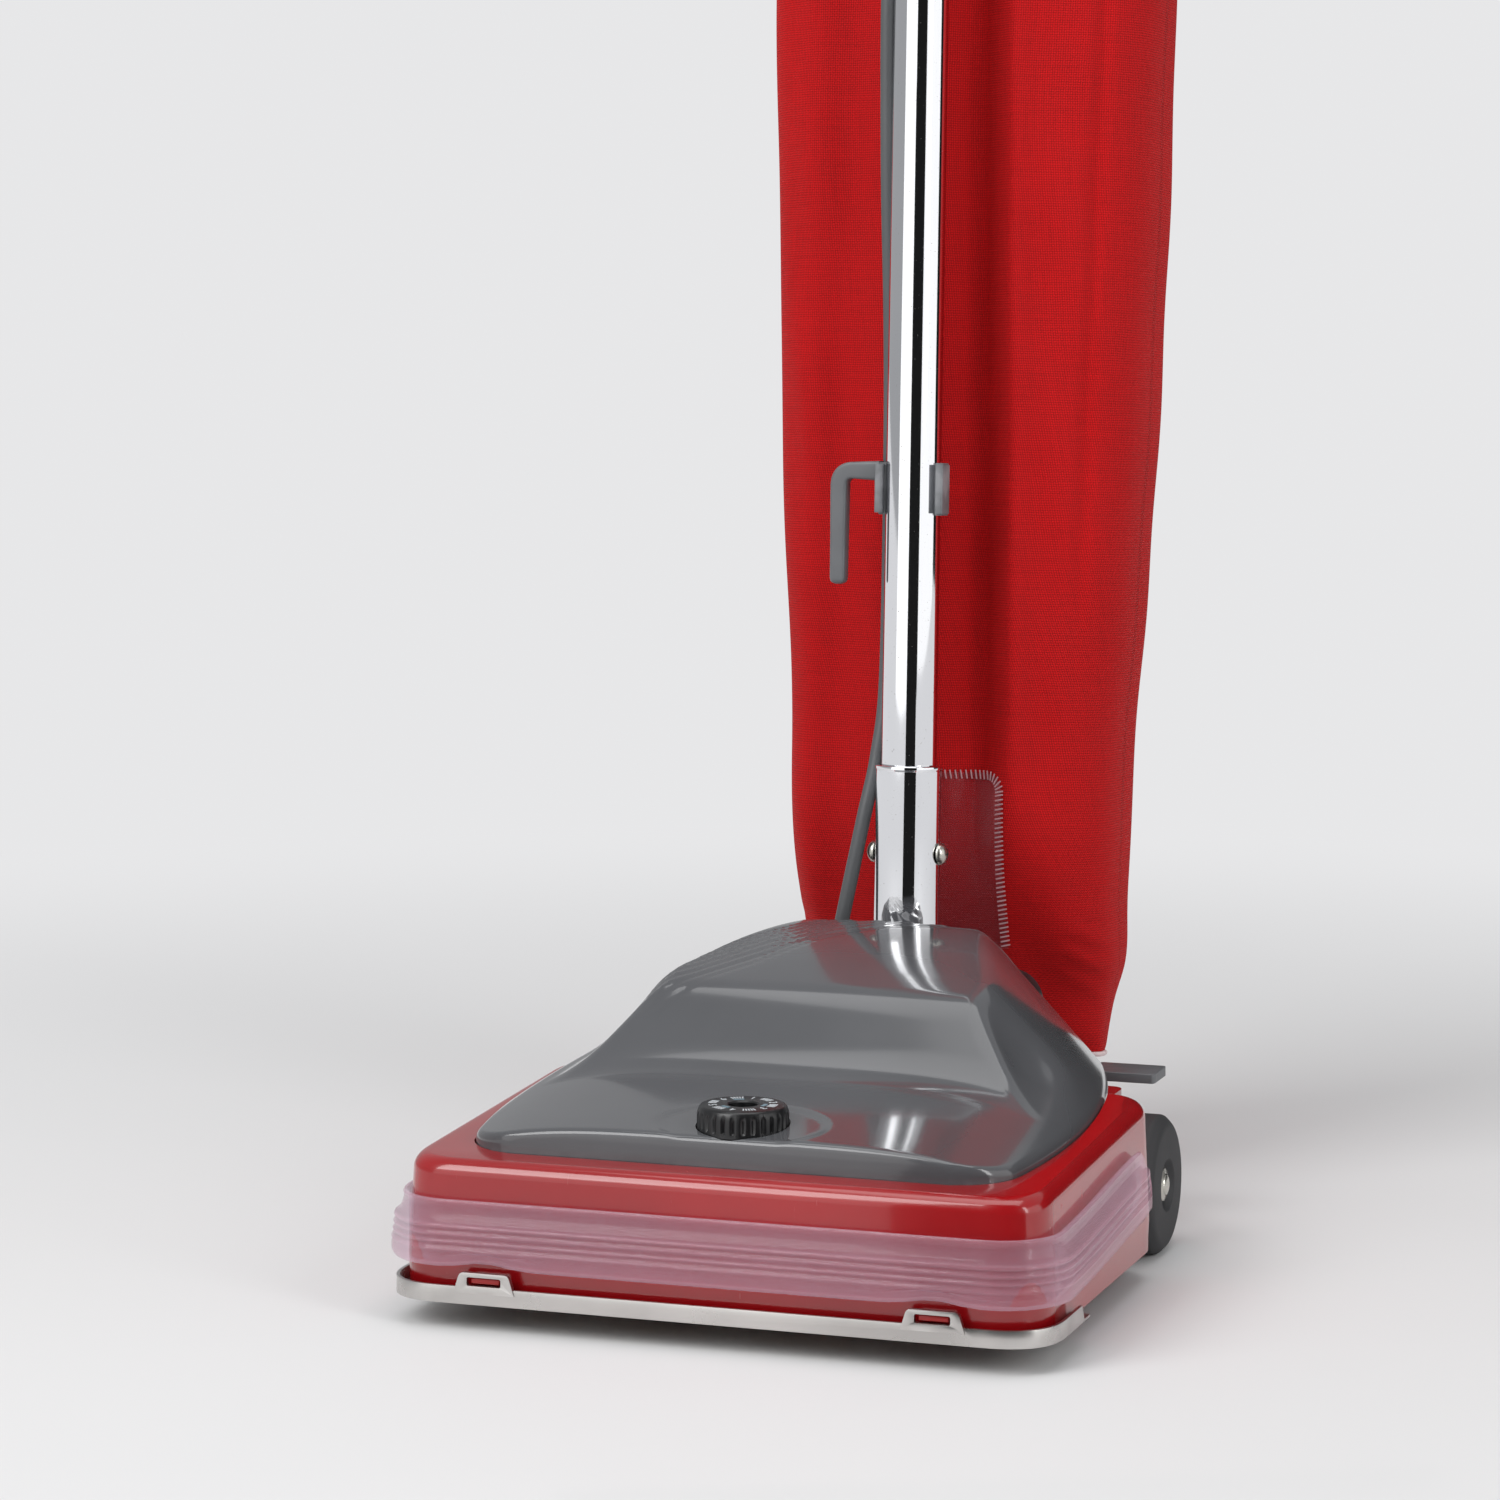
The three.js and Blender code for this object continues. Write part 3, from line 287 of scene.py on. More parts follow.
def slab(name, outline, low, high, handle=False, axis="z"):
    """An outline pushed out between two values of an axis. The outline is in the two other axes, in order."""
    turn = {"z": (0, 1, 2), "x": (2, 0, 1), "y": (0, 2, 1)}[axis]
    return loft(name, [[[(u, v, w)[k] for k in turn] for u, v in outline] for w in (low, high)], handle)


def block(name, x0, x1, y0, y1, z0, z1, handle=False):
    return slab(name, [(x0, y0), (x1, y0), (x1, y1), (x0, y1)], z0, z1, handle)


def rod(name, axis, r, low, high, centre, handle=False, segments=48):
    return turned(name, [(0, low), (r, low), (r, high), (0, high)], axis, centre, segments, handle)


def curve_points(points, per_span):
    """A smooth curve through the points."""
    p = [Vector(q) for q in points]
    p = [2 * p[0] - p[1]] + p + [2 * p[-1] - p[-2]]
    out = []
    for k in range(1, len(p) - 2):
        a, b, c, d = p[k - 1:k + 3]
        for i in range(per_span):
            t = i / per_span
            out.append(0.5 * (2 * b + (c - a) * t + (2 * a - 5 * b + 4 * c - d) * t * t
                              + (3 * b - a - 3 * c + d) * t ** 3))
    return out + [p[-2]]


def sweep_rings(path, section, radii=None, up=(1, 0, 0)):
    """Rings of a section carried along a path without twisting."""
    rings, side = [], Vector(up)
    for i, p in enumerate(path):
        ahead = (path[min(i + 1, len(path) - 1)] - path[max(i - 1, 0)]).normalized()
        side = (side - ahead * side.dot(ahead)).normalized()
        other = ahead.cross(side)
        k = radii[i] if radii else 1
        rings.append([p + side * (u * k) + other * (v * k) for u, v in section])
    return rings


def circle(r, n):
    return [(r * math.cos(2 * math.pi * i / n), r * math.sin(2 * math.pi * i / n)) for i in range(n)]


# ------------------------------------------------------------------ materials
class Look:
    """A node material. Inputs are given as name=value, and a value may be another node's socket."""

    def __init__(self, name, slot):
        self.mat = bpy.data.materials.new(name)
        self.mat.use_nodes = True
        self.mat["slot"] = slot
        self.nodes, self.links = self.mat.node_tree.nodes, self.mat.node_tree.links
        self.surface = self.nodes["Principled BSDF"]
        self.out = self.nodes["Material Output"]
        self.place = self.node("ShaderNodeTexCoord").outputs["Object"]

    def node(self, kind, props=None, **inputs):
        made = self.nodes.new(kind)
        for key, value in (props or {}).items():
            setattr(made, key, value)
        for key, value in inputs.items():
            self.feed(made, key, value)
        return made

    def feed(self, made, key, value):
        numbered = key[0] == "i" and key[1:].isdigit()
        socket = made.inputs[int(key[1:]) if numbered else key.replace("_", " ")]
        if isinstance(value, bpy.types.NodeSocket):
            self.links.new(value, socket)
        else:
            socket.default_value = value

    def set(self, **inputs):
        for key, value in inputs.items():
            self.feed(self.surface, key, value)
        return self

    def math(self, operation, a, b=0.0, c=0.0, clamp=False):
        props = {"operation": operation, "use_clamp": clamp}
        return self.node("ShaderNodeMath", props, i0=a, i1=b, i2=c).outputs[0]

    def times(self, a, b):
        return self.math("MULTIPLY", a, b)

    def scaled(self, a, b, c, clamp=False):
        """a * b + c."""
        return self.math("MULTIPLY_ADD", a, b, c, clamp)

    def stretched(self, x=1.0, y=1.0, z=1.0, source=None):
        return self.node("ShaderNodeMapping", Vector=source or self.place, Scale=(x, y, z)).outputs[0]

    def noise(self, scale, detail=3.0, rough=0.5, vector=None):
        return self.node("ShaderNodeTexNoise", Vector=vector or self.place, Scale=scale, Detail=detail,
                         Roughness=rough).outputs[0]

    def ramp(self, value, low, high):
        """Rises smoothly from 0 at low to 1 at high."""
        props = {"interpolation_type": "SMOOTHSTEP"}
        return self.node("ShaderNodeMapRange", props, Value=value, i1=low, i2=high).outputs[0]

    def mix(self, factor, a, b):
        made = self.node("ShaderNodeMix", {"data_type": "RGBA"})
        for key, value in (("i0", factor), ("i6", a), ("i7", b)):
            self.feed(made, key, value)
        return made.outputs[2]

    def edges(self, low=0.52, high=0.6):
        """1 on convex edges."""
        return self.ramp(self.node("ShaderNodeNewGeometry").outputs["Pointiness"], low, high)

    def bump(self, height, strength, distance=0.0005):
        return self.node("ShaderNodeBump", Height=height, Strength=strength, Distance=distance).outputs[0]

    def cover(self, factor, under, over):
        """The finished surface: under where factor is 0, over where it is 1."""
        both = self.node("ShaderNodeMixShader", i0=factor, i1=under.outputs[0], i2=over.outputs[0])
        self.feed(self.out, "Surface", both.outputs[0])


def rgb(r, g, b):
    """sRGB 0-255 to the linear colour that nodes take."""
    parts = (v / 255 / 12.92 if v < 10.3 else ((v / 255 + 0.055) / 1.055) ** 2.4 for v in (r, g, b))
    return (*parts, 1.0)


def shade(colour, k):
    return tuple(min(1.0, c * k) for c in colour[:3]) + (1.0,)


def finish(name, slot, colour, rough, metal=0.0, grain=900.0, relief=0.12, vary=0.08, scuff=0.12, wear=None,
           coat=0.0, stretch=(1, 1, 1), tint=0.12):
    """A hard surface: drifting colour, fine relief, uneven polish, hairline scratches and rubbed edges."""
    look = Look(name, slot)
    along = look.stretched(*stretch)
    patches = look.noise(14.0, 4.0)
    colour = look.mix(look.ramp(patches, 0.3, 0.7), shade(colour, 1 - tint), shade(colour, 1 + tint))
    scratched = look.ramp(look.noise(55.0, 6.0, 0.7, look.stretched(9, 1, 1)), 0.66, 0.72)
    if wear:
        rubbed = look.times(look.edges(), look.ramp(look.noise(60.0), 0.35, 0.65))
        colour = look.mix(rubbed, colour, wear)
    polish = look.scaled(look.noise(38.0, 5.0), 2 * vary, rough - vary)
    polish = look.scaled(scratched, scuff, polish, clamp=True)
    normal = look.bump(look.noise(grain, 2.0, 0.5, along), relief, 0.0002)
    look.set(Base_Color=colour, Roughness=polish, Metallic=metal, Normal=normal, Coat_Weight=coat,
             Coat_Roughness=0.06)
    return look.mat


RED = finish("red_enamel", "red_casting", rgb(158, 14, 20), 0.2, grain=260, relief=0.05, vary=0.05,
             coat=0.6, wear=rgb(120, 8, 12), tint=0.08)
GREY = finish("hood_plastic", "grey_hood", rgb(86, 87, 90), 0.13, grain=320, relief=0.008, vary=0.03,
              scuff=0.06, wear=rgb(120, 121, 124), coat=0.35, tint=0.05)
GREY_MATT = finish("grey_moulding", "grey_plastic", rgb(98, 100, 103), 0.42, grain=1500, relief=0.2,
                   wear=rgb(135, 137, 140))
BLACK = finish("black_moulding", "black_plastic", rgb(20, 20, 22), 0.3, grain=1400, relief=0.14,
               wear=rgb(55, 55, 58))
RUBBER = finish("wheel_rubber", "black_rubber", rgb(46, 46, 48), 0.68, grain=700, relief=0.3,
                wear=rgb(78, 77, 76))
STEEL = finish("plate_steel", "steel_sheet", rgb(196, 193, 190), 0.3, 1.0, 500, 0.2, stretch=(0.05, 1, 1),
               wear=rgb(225, 223, 220), vary=0.1)
ZINC = finish("zinc_steel", "steel_bar", rgb(190, 188, 180), 0.28, 1.0, 600, 0.18, vary=0.1)
IRON = finish("motor_iron_paint", "motor_iron", rgb(72, 66, 60), 0.5, 0.4, 500, 0.3)
COPPER = finish("motor_copper", "motor_iron", rgb(170, 98, 52), 0.35, 1.0, 900, 0.5, stretch=(1, 1, 12))
ALUMINIUM = finish("fan_aluminium", "aluminium_fan", rgb(176, 178, 180), 0.35, 1.0, 700, 0.25)
GEAR = finish("brush_gear_plastic", "brush_gear", rgb(40, 34, 28), 0.5, grain=900)
BRISTLE = finish("bristle_hair", "bristle", rgb(34, 33, 34), 0.75, grain=900, relief=1.0, stretch=(14, 1, 1))
CORD = finish("cord_jacket", "cord_jacket", rgb(84, 86, 88), 0.5, grain=800, relief=0.15, tint=0.06)
WHITE = finish("printed_white", "black_plastic", rgb(206, 212, 216), 0.5)
BLUE = finish("printed_blue", "black_plastic", rgb(112, 138, 150), 0.5)
THREAD = finish("sewing_thread", "bag_fabric", rgb(196, 150, 156), 0.7, grain=2500, relief=0.6,
                stretch=(1, 1, 3))
PIPING = finish("white_piping", "bag_fabric", rgb(225, 205, 205), 0.7, grain=2500, relief=0.6)
TAB_RED = finish("red_tab", "red_casting", rgb(176, 22, 22), 0.3, grain=400, relief=0.05)


def chrome():
    look = Look("chrome_plate", "chrome_tube")
    drawn = look.noise(240.0, 4.0, 0.6, look.stretched(1, 1, 0.02))
    specks = look.ramp(look.noise(900.0, 2.0), 0.70, 0.76)
    polish = look.scaled(drawn, 0.05, 0.025)
    polish = look.scaled(specks, 0.25, polish, clamp=True)
    colour = look.mix(specks, rgb(232, 233, 236), rgb(170, 168, 166))
    normal = look.bump(look.noise(60.0, 2.0, 0.4, look.stretched(1, 1, 0.05)), 0.04, 0.0004)
    look.set(Base_Color=colour, Metallic=1.0, Roughness=polish, Normal=normal)
    return look.mat


def wood():
    look = Look("roll_wood", "wooden_roll")
    rings = look.node("ShaderNodeTexWave", {"wave_type": "BANDS", "bands_direction": "Z"},
                      Vector=look.stretched(0.08, 1, 1), Scale=90.0, Distortion=5.0, Detail=3.0).outputs[1]
    look.set(Base_Color=look.mix(rings, rgb(196, 150, 98), rgb(150, 102, 60)), Roughness=0.5,
             Normal=look.bump(rings, 0.25))
    return look.mat


def vinyl(name, slot, colour, haze, edge):
    """Soft clear vinyl: mostly see-through, milky where seen at a slant, with a glossy skin, a painted
    highlight on the rib crests and painted shade in the grooves.
    """
    look = Look(name, slot)
    slant = look.node("ShaderNodeLayerWeight", Blend=0.42).outputs["Facing"]
    cloud = look.noise(22.0, 4.0)
    body = look.scaled(slant, edge, haze)
    body = look.scaled(cloud, 0.04, look.math("SUBTRACT", body, 0.02), clamp=True)
    wavy = look.bump(look.noise(34.0, 3.0, 0.5, look.stretched(0.35, 0.35, 1)), 0.04, 0.0012)
    # painted highlight and shade: the colour is lighter on convex rib crests and darker in the grooves
    # between them
    crest = look.edges(0.47, 0.54)
    look.set(Base_Color=look.mix(crest, shade(colour, 0.45), shade(colour, 1.25)), Normal=wavy,
             Roughness=look.scaled(cloud, 0.12, 0.1), Coat_Weight=0.7, Coat_Roughness=0.05)
    clear = look.node("ShaderNodeBsdfTransparent", Color=(0.93, 0.90, 0.94, 1))
    look.cover(body, clear, look.surface)
    return look.mat


YARN_PITCH = 0.00125


def cloth(name, slot, colour):
    """Plain woven cloth on UVs in metres: slubby yarns over and under each other, lint and fading, with
    painted shade in the hollows of the weave and painted light on the yarn tops.
    """
    look = Look(name, slot)
    uv = look.node("ShaderNodeUVMap", {"uv_map": "metres"}).outputs[0]
    wander = look.node("ShaderNodeTexNoise", Vector=uv, Scale=70.0, Detail=2.0).outputs[1]
    bent = look.node("ShaderNodeMix", {"data_type": "VECTOR"})
    for key, value in (("i0", 0.0009), ("i4", uv), ("i5", wander)):
        look.feed(bent, key, value)
    split = look.node("ShaderNodeSeparateXYZ", Vector=bent.outputs[1])
    u, v = (look.math("SINE", look.times(split.outputs[k], math.pi / YARN_PITCH)) for k in (0, 1))
    warp, weft = look.math("ABSOLUTE", u), look.math("ABSOLUTE", v)
    over = look.ramp(look.times(u, v), -0.25, 0.25)
    slub_v = look.noise(620.0, 2.0, 0.6, look.stretched(1, 0.06, 1, uv))
    slub_u = look.noise(620.0, 2.0, 0.6, look.stretched(0.06, 1, 1, uv))
    yarn_v = look.times(warp, look.scaled(slub_v, 0.9, 0.35))
    yarn_u = look.times(weft, look.scaled(slub_u, 0.9, 0.35))
    yarns = look.node("ShaderNodeMix", {"data_type": "FLOAT"}, i0=over, i2=yarn_u, i3=yarn_v).outputs[0]
    lint = look.noise(2600.0, 2.0)
    height = look.scaled(lint, 0.18, yarns)
    worn = look.ramp(look.noise(9.0, 5.0), 0.3, 0.75)
    # painted shade and light: the colour is darker where the yarns dip and lighter on their tops
    base = look.mix(look.ramp(height, 0.15, 0.95), shade(colour, 0.34), shade(colour, 1.08))
    base = look.mix(look.times(worn, 0.12), base, shade(colour, 1.2))
    look.set(Base_Color=base, Roughness=look.scaled(lint, 0.15, 0.68), Sheen_Weight=0.06,
             Sheen_Roughness=0.4, Sheen_Tint=(1.0, 0.35, 0.3, 1), Specular_IOR_Level=0.15,
             Normal=look.bump(height, 0.55, 0.0004))
    return look.mat


CHROME = chrome()
WOOD = wood()
GUARD = vinyl("guard_vinyl", "clear_vinyl", rgb(226, 184, 200), 0.17, 0.30)
POCKET = vinyl("pocket_vinyl", "clear_vinyl", rgb(214, 150, 156), 0.05, 0.14)
CLOTH = cloth("bag_cloth_weave", "bag_fabric", rgb(200, 12, 16))

# ------------------------------------------------------------------ hood
RIB_LINE = np.array([(-112, -128), (-92, -122), (-68, -102), (-42, -74), (-20, -38), (6, -8), (34, 8),
                     (70, 18), (130, 26)])
RIB_PITCH, RIBS, RIB_DEPTH = 7.2, 6, 1.0
HOOD_HALF, HOOD_CORNER, HOOD_RIM, HOOD_WALL = 139, 22, 3.2, 2.6
CREST, FACE_TOP = 154.9, 136.2
DISH_DEPTH = 0.6


def hood_half(y):
    side = HOOD_HALF - 27.9 * ((y + 135) / 161) ** 2 * np.where(y > -135, 1, 1.2)
    past = HOOD_CORNER - np.minimum(y - HOOD_FRONT, HOOD_CORNER)
    return side - HOOD_CORNER + np.sqrt(np.maximum(HOOD_CORNER ** 2 - past ** 2, 0))


def hood_height(x, y):
    """Shelf, sloping face and crested dome, as in the CAD, with the ribs and the knob's dish added."""
    a = np.abs(x)
    shelf = 91.1 + 0.118 * (y - HOOD_FRONT) - 5 * (a / 110) ** 4
    face = FACE_TOP + 1.12 * (y + 100)
    crest = np.minimum(CREST - 17.7 * ((1.6 - y) / 101.6) ** 2, CREST - 0.55 * np.maximum(0, y - 16))
    arch = 7 * smooth(y, -110, -40) * (a / 90) ** 2
    edge = 81.4 + 19.3 * smooth(y, -110, -30)
    flank = FACE_TOP - 1.245 * (a - edge)
    dome = soft_min(soft_min(face, crest - arch, 6), flank, 8)
    z = soft_min(soft_max(shelf, dome, 12), 85 + 1.05 * (hood_half(y) - a), 5)
    line = np.interp(x, RIB_LINE[:, 0], RIB_LINE[:, 1])
    slope = np.interp(x, RIB_LINE[:, 0], np.gradient(RIB_LINE[:, 1], RIB_LINE[:, 0]))
    behind = (y - line) / np.sqrt(1 + slope ** 2)
    last = RIBS * RIB_PITCH
    ribbed = smooth(behind, -0.5, 1.5) * (1 - smooth(behind, last - 1, last + 1))
    ribbed = ribbed * (1 - smooth(a, edge + 2, edge + 9)) * smooth(z, 112, 120)
    z = z - RIB_DEPTH * ribbed * (0.5 + 0.5 * np.cos(2 * math.pi * behind / RIB_PITCH))
    dish = np.hypot((x - KNOB.x) / 1.45, y - KNOB.y + 1)
    return z - DISH_DEPTH * (1 - smooth(dish, 26, 30))


def hood_ring(y, inset, foot):
    """One cross-section of the hood's skin. inset moves it inwards."""
    half = float(hood_half(np.array(y)))
    x = np.sin(np.linspace(-0.5, 0.5, 150) * math.pi) * half
    z = hood_height(x, np.full_like(x, y))
    near = np.clip(HOOD_RIM - np.minimum(half - np.abs(x), y - HOOD_FRONT), 0, HOOD_RIM)
    z = z - (HOOD_RIM - np.sqrt(HOOD_RIM ** 2 - near ** 2)) - inset
    scale = (half - inset) / half
    at = HOOD_FRONT + inset + (y - HOOD_FRONT) * (HOOD_LONG - 2 * inset) / HOOD_LONG
    ring = [(a * scale, at, max(b, foot + 1)) for a, b in zip(x, z)]
    return ring + [(half - inset, at, foot), (inset - half, at, foot)]


def hood_skin(name, inset, foot):
    steps = np.concatenate([[0, 0.25, 0.7, 1.3, 2.1, 3.2], np.arange(4.6, HOOD_LONG - 0.5, 1.5), [HOOD_LONG]])
    return loft(name, [hood_ring(HOOD_FRONT + s, inset, foot) for s in steps])


def hood():
    made = hood_skin("hood_shell", 0, HOOD_FOOT)
    hole = rod("hole", "z", STEM_HOLE, 60, 120, (KNOB.x, KNOB.y, 0), segments=96)
    seat = rod("seat", "z", KNOB_R + 0.6, KNOB_SKIRT - 0.3, 120, (KNOB.x, KNOB.y, 0), segments=96)
    cut(made, hood_skin("inside", HOOD_WALL, HOOD_FOOT - 5), hole, seat)
    place(made, GREY, "base", "hood", angle=28)


def hood_outline(grow):
    ys = np.concatenate([[0, 0.4, 1, 2, 3.5, 6, 9, 13, 18], np.linspace(24, HOOD_LONG, 60)])
    right = [(float(hood_half(np.array(HOOD_FRONT + s))) + grow, HOOD_FRONT + s) for s in ys]
    right[0] = (right[0][0], right[0][1] - grow)
    right[-1] = (right[-1][0], right[-1][1] + grow)
    return right + [(-x, y) for x, y in right[::-1]]


# ------------------------------------------------------------------ red casting
HALF, FRONT, REAR, CORNER = 158, -253, -38, 28
EDGE, EDGE_STEPS = 7, 10  # rounding along the top of the front block
TAIL_HALF, TAIL_FOOT = 121, 20
BAY_TOP = 117
ARM_ROOM = 18.8  # the fork's arms move outside this


def shoulder(y):
    return 76 + 10 * (y - FRONT) / (REAR - FRONT)


def casting_ring(inset, height):
    """A ring of the casting's front block."""
    corner = CORNER - 0.5 * inset
    ring = rounded_rect(-HALF + inset, HALF - inset, FRONT + inset, REAR - 0.4 * inset, corner, 14)
    return [(x, y, height(y)) for x, y in ring]


def casting_rooms():
    """What the casting leaves free for the hood, the brush, the wheels, the belt, the motor and the knob."""
    by, bz, room = BRUSH.y, BRUSH.z, 24.9
    seat_floor = HOOD_FOOT - 0.3
    motor_bay = slab("motor_bay", hood_outline(-6), 53, BAY_TOP)
    cut(motor_bay, block("front_part", -200, 200, -260, -126, 0, 200))
    rooms = [slab("seat", hood_outline(0.9), seat_floor, 120), slab("bay", hood_outline(-6), 68.5, 118),
             rod("chamber", "x", room, -146, 146, (0, by, bz)),
             block("mouth", -146, 146, by - room, by + room, 5, bz),
             block("wheel_bay", -90, 90, -193, -130, 5, 65), block("belt_slot", -16, 16, -205, -100, 5, 58),
             rod("fan_room", "z", 58, 33.9, 49.5, (0, MOTOR.y, 0)),
             rod("fan_mouth", "z", 62, 5, 35.7, (0, MOTOR.y, 0)),
             rod("knob_well", "z", STEM_HOLE, 65.2, 100, (KNOB.x, KNOB.y, 0)),
             block("finger", -8, 8, -198, -128, 55, 90), motor_bay]
    outline = fillet([(-38.4, -5), (42, -5), (42, 75), (-38.4, 75)], [0, 0, 0, 3])
    for _, s in SIDES:
        across = sided(s, 93, 151)
        rooms += [slab("room", outline, *sided(s, 125.5, 170), axis="x"),
                  block("pocket", *across, -193, -129, 5, 64), block("pocket", *across, -129.5, -45, 5, 50)]
    return rooms


def casting():
    foot = ((3, 14.2), (2.6, 14.6), (2.4, 22), (2, 30))
    rings = [casting_ring(inset, lambda y, z=z: z) for inset, z in foot]
    for i in range(EDGE_STEPS + 1):
        a = i / EDGE_STEPS * math.pi / 2
        drop = EDGE * (1 - math.sin(a))
        rings.append(casting_ring(4 + EDGE * (1 - math.cos(a)), lambda y, drop=drop: shoulder(y) - drop))
    made = loft("red_housing", rings)
    tail = slab("tail", rounded_rect(-TAIL_HALF, TAIL_HALF, -70, 60, 16), TAIL_FOOT, 57)
    soften(tail, 3, 3, 60)
    outline = rounded_rect(-TAIL_HALF, TAIL_HALF, -70, HOOD_REAR + 1, 8)
    wall = slab("wall", outline, TAIL_FOOT, HOOD_FOOT - 0.3)
    boss = ((0, 105), (9, 105), (9, 124.5), (7.5, 126), (0, 126))
    bosses = [turned("boss", [(r, s * x) for r, x in boss], "x", (0, AXLE_Y, AXLE_Z)) for _, s in SIDES]
    join(made, tail, wall)
    cut(made, *casting_rooms())
    trunnion = rod("trunnion", "x", 13, -18.5, 18.5, (0, PIVOT.y, PIVOT.z))
    foot = block("foot", -18.5, 18.5, 30, 54, 50, PIVOT.z)
    lugs = [slab("lug", fillet([(78, 40), (90, 40), (90, 78), (78, 78)], [0, 0, 6, 6]), y, y + 3, axis="y")
            for y in (64.5, 80.5)]
    join(made, trunnion, foot, block("lug_foot", 78, 90, 50, 83.5, 40, 52), *lugs, *bosses)
    clear = [rod("pin", "x", PIVOT_HOLE, -40, 40, (0, PIVOT.y, PIVOT.z)),
             rod("pin", "y", PIN_HOLE, 50, 100, PEDAL_PIN),
             rod("cord_hole", "z", 6, 40, 70, (CORD_X, CORD_Y, 0)),
             rod("riser", "z", 15, 40, 62, (DUCT_X, DUCT_Y, 0)),
             rod("shaft", "z", 14, 45, 60, (0, MOTOR.y, 0))]
    for _, s in SIDES:
        clear.append(block("arm_room", *sided(s, ARM_ROOM, 24), 26, 68, 38, 90))
        clear.append(rod("axle_hole", "x", 5.3, *sided(s, 100, 130), (0, AXLE_Y, AXLE_Z)))
    cut(made, *clear)
    place(made, RED, "base", "base_housing", angle=30)
    for name, s in SIDES:  # square tabs that hook through the plate's loops
        tab = block(f"plate_tab_{name}", s * LOOP_X - 7, s * LOOP_X + 7, -256, -246, 22.2, 24.7)
        soften(tab, 0.5, 3)
        place(tab, TAB_RED, "base")


# ------------------------------------------------------------------ furniture guard
# the guard's section as (distance outwards, height) pairs
GUARD_SECTION = [(0.6, 29.6), (0.6, 58.2), (1.3, 59.3), (2.6, 59.4), (3.3, 58.3), (3.1, 56.8), (3.0, 55.6),
                 (3.6, 53.4), (4.6, 51.0), (5.9, 49.4), (7.2, 48.8), (7.7, 47.8), (6.9, 46.6), (7.4, 45.5),
                 (8.0, 44.6), (7.3, 43.3), (7.5, 42.2), (8.3, 41.2), (7.7, 40.0), (8.2, 38.9), (8.9, 37.6),
                 (8.6, 36.4), (8.9, 34.4), (8.7, 31.6), (7.6, 29.7), (5.4, 29.0), (4.4, 29.3)]
GUARD_RISE = 10  # how much higher the guard runs at its rear ends
GUARD_MIDDLE = 47  # height about which its rounded ends shrink


def guard():
    r, side, front, rear = CORNER - 2, HALF - 2, FRONT + 2, -76
    path = [(side, y, 1, 0) for y in np.linspace(rear, front + r, 14)[:-1]]
    for cx, start in ((side - r, 0), (r - side, -math.pi / 2)):
        for i in range(15):
            a = start - i / 14 * math.pi / 2
            path.append((cx + r * math.cos(a), front + r + r * math.sin(a), math.cos(a), math.sin(a)))
        if start == 0:
            path += [(x, front, 0, -1) for x in np.linspace(side - r, r - side, 30)[1:-1]]
    path += [(-side, y, -1, 0) for y in np.linspace(front + r, rear, 14)[1:]]
    section = fillet(GUARD_SECTION, 0.35, 3)
    rings = []
    for x, y, nx, ny in path:
        rise = GUARD_RISE * float(smooth(y, -240, -60))
        end = math.sqrt(max(0.0, 1 - ((max(y, -96) + 96) / 20.5) ** 2)) if y > -96 else 1.0
        notch = 0 if ny > -0.9 else sum(float(bell(x, s * LOOP_X, 13)) for s in (1, -1))
        ring = []
        for out, z in section:
            at = GUARD_MIDDLE + (z - GUARD_MIDDLE) * (0.35 + 0.65 * end)
            out = 0.6 + (out - 0.6) * (0.4 + 0.6 * end)
            ring.append((x + out * nx, y + out * ny, at + rise + (2.6 * notch if z < 36 else 0)))
        rings.append(ring)
    place(loft("vinyl_guard", rings), GUARD, "base", "furniture_guard", angle=24)


# ------------------------------------------------------------------ bottom plate
PLATE_RIM, SHEET = 20.6, 1.2


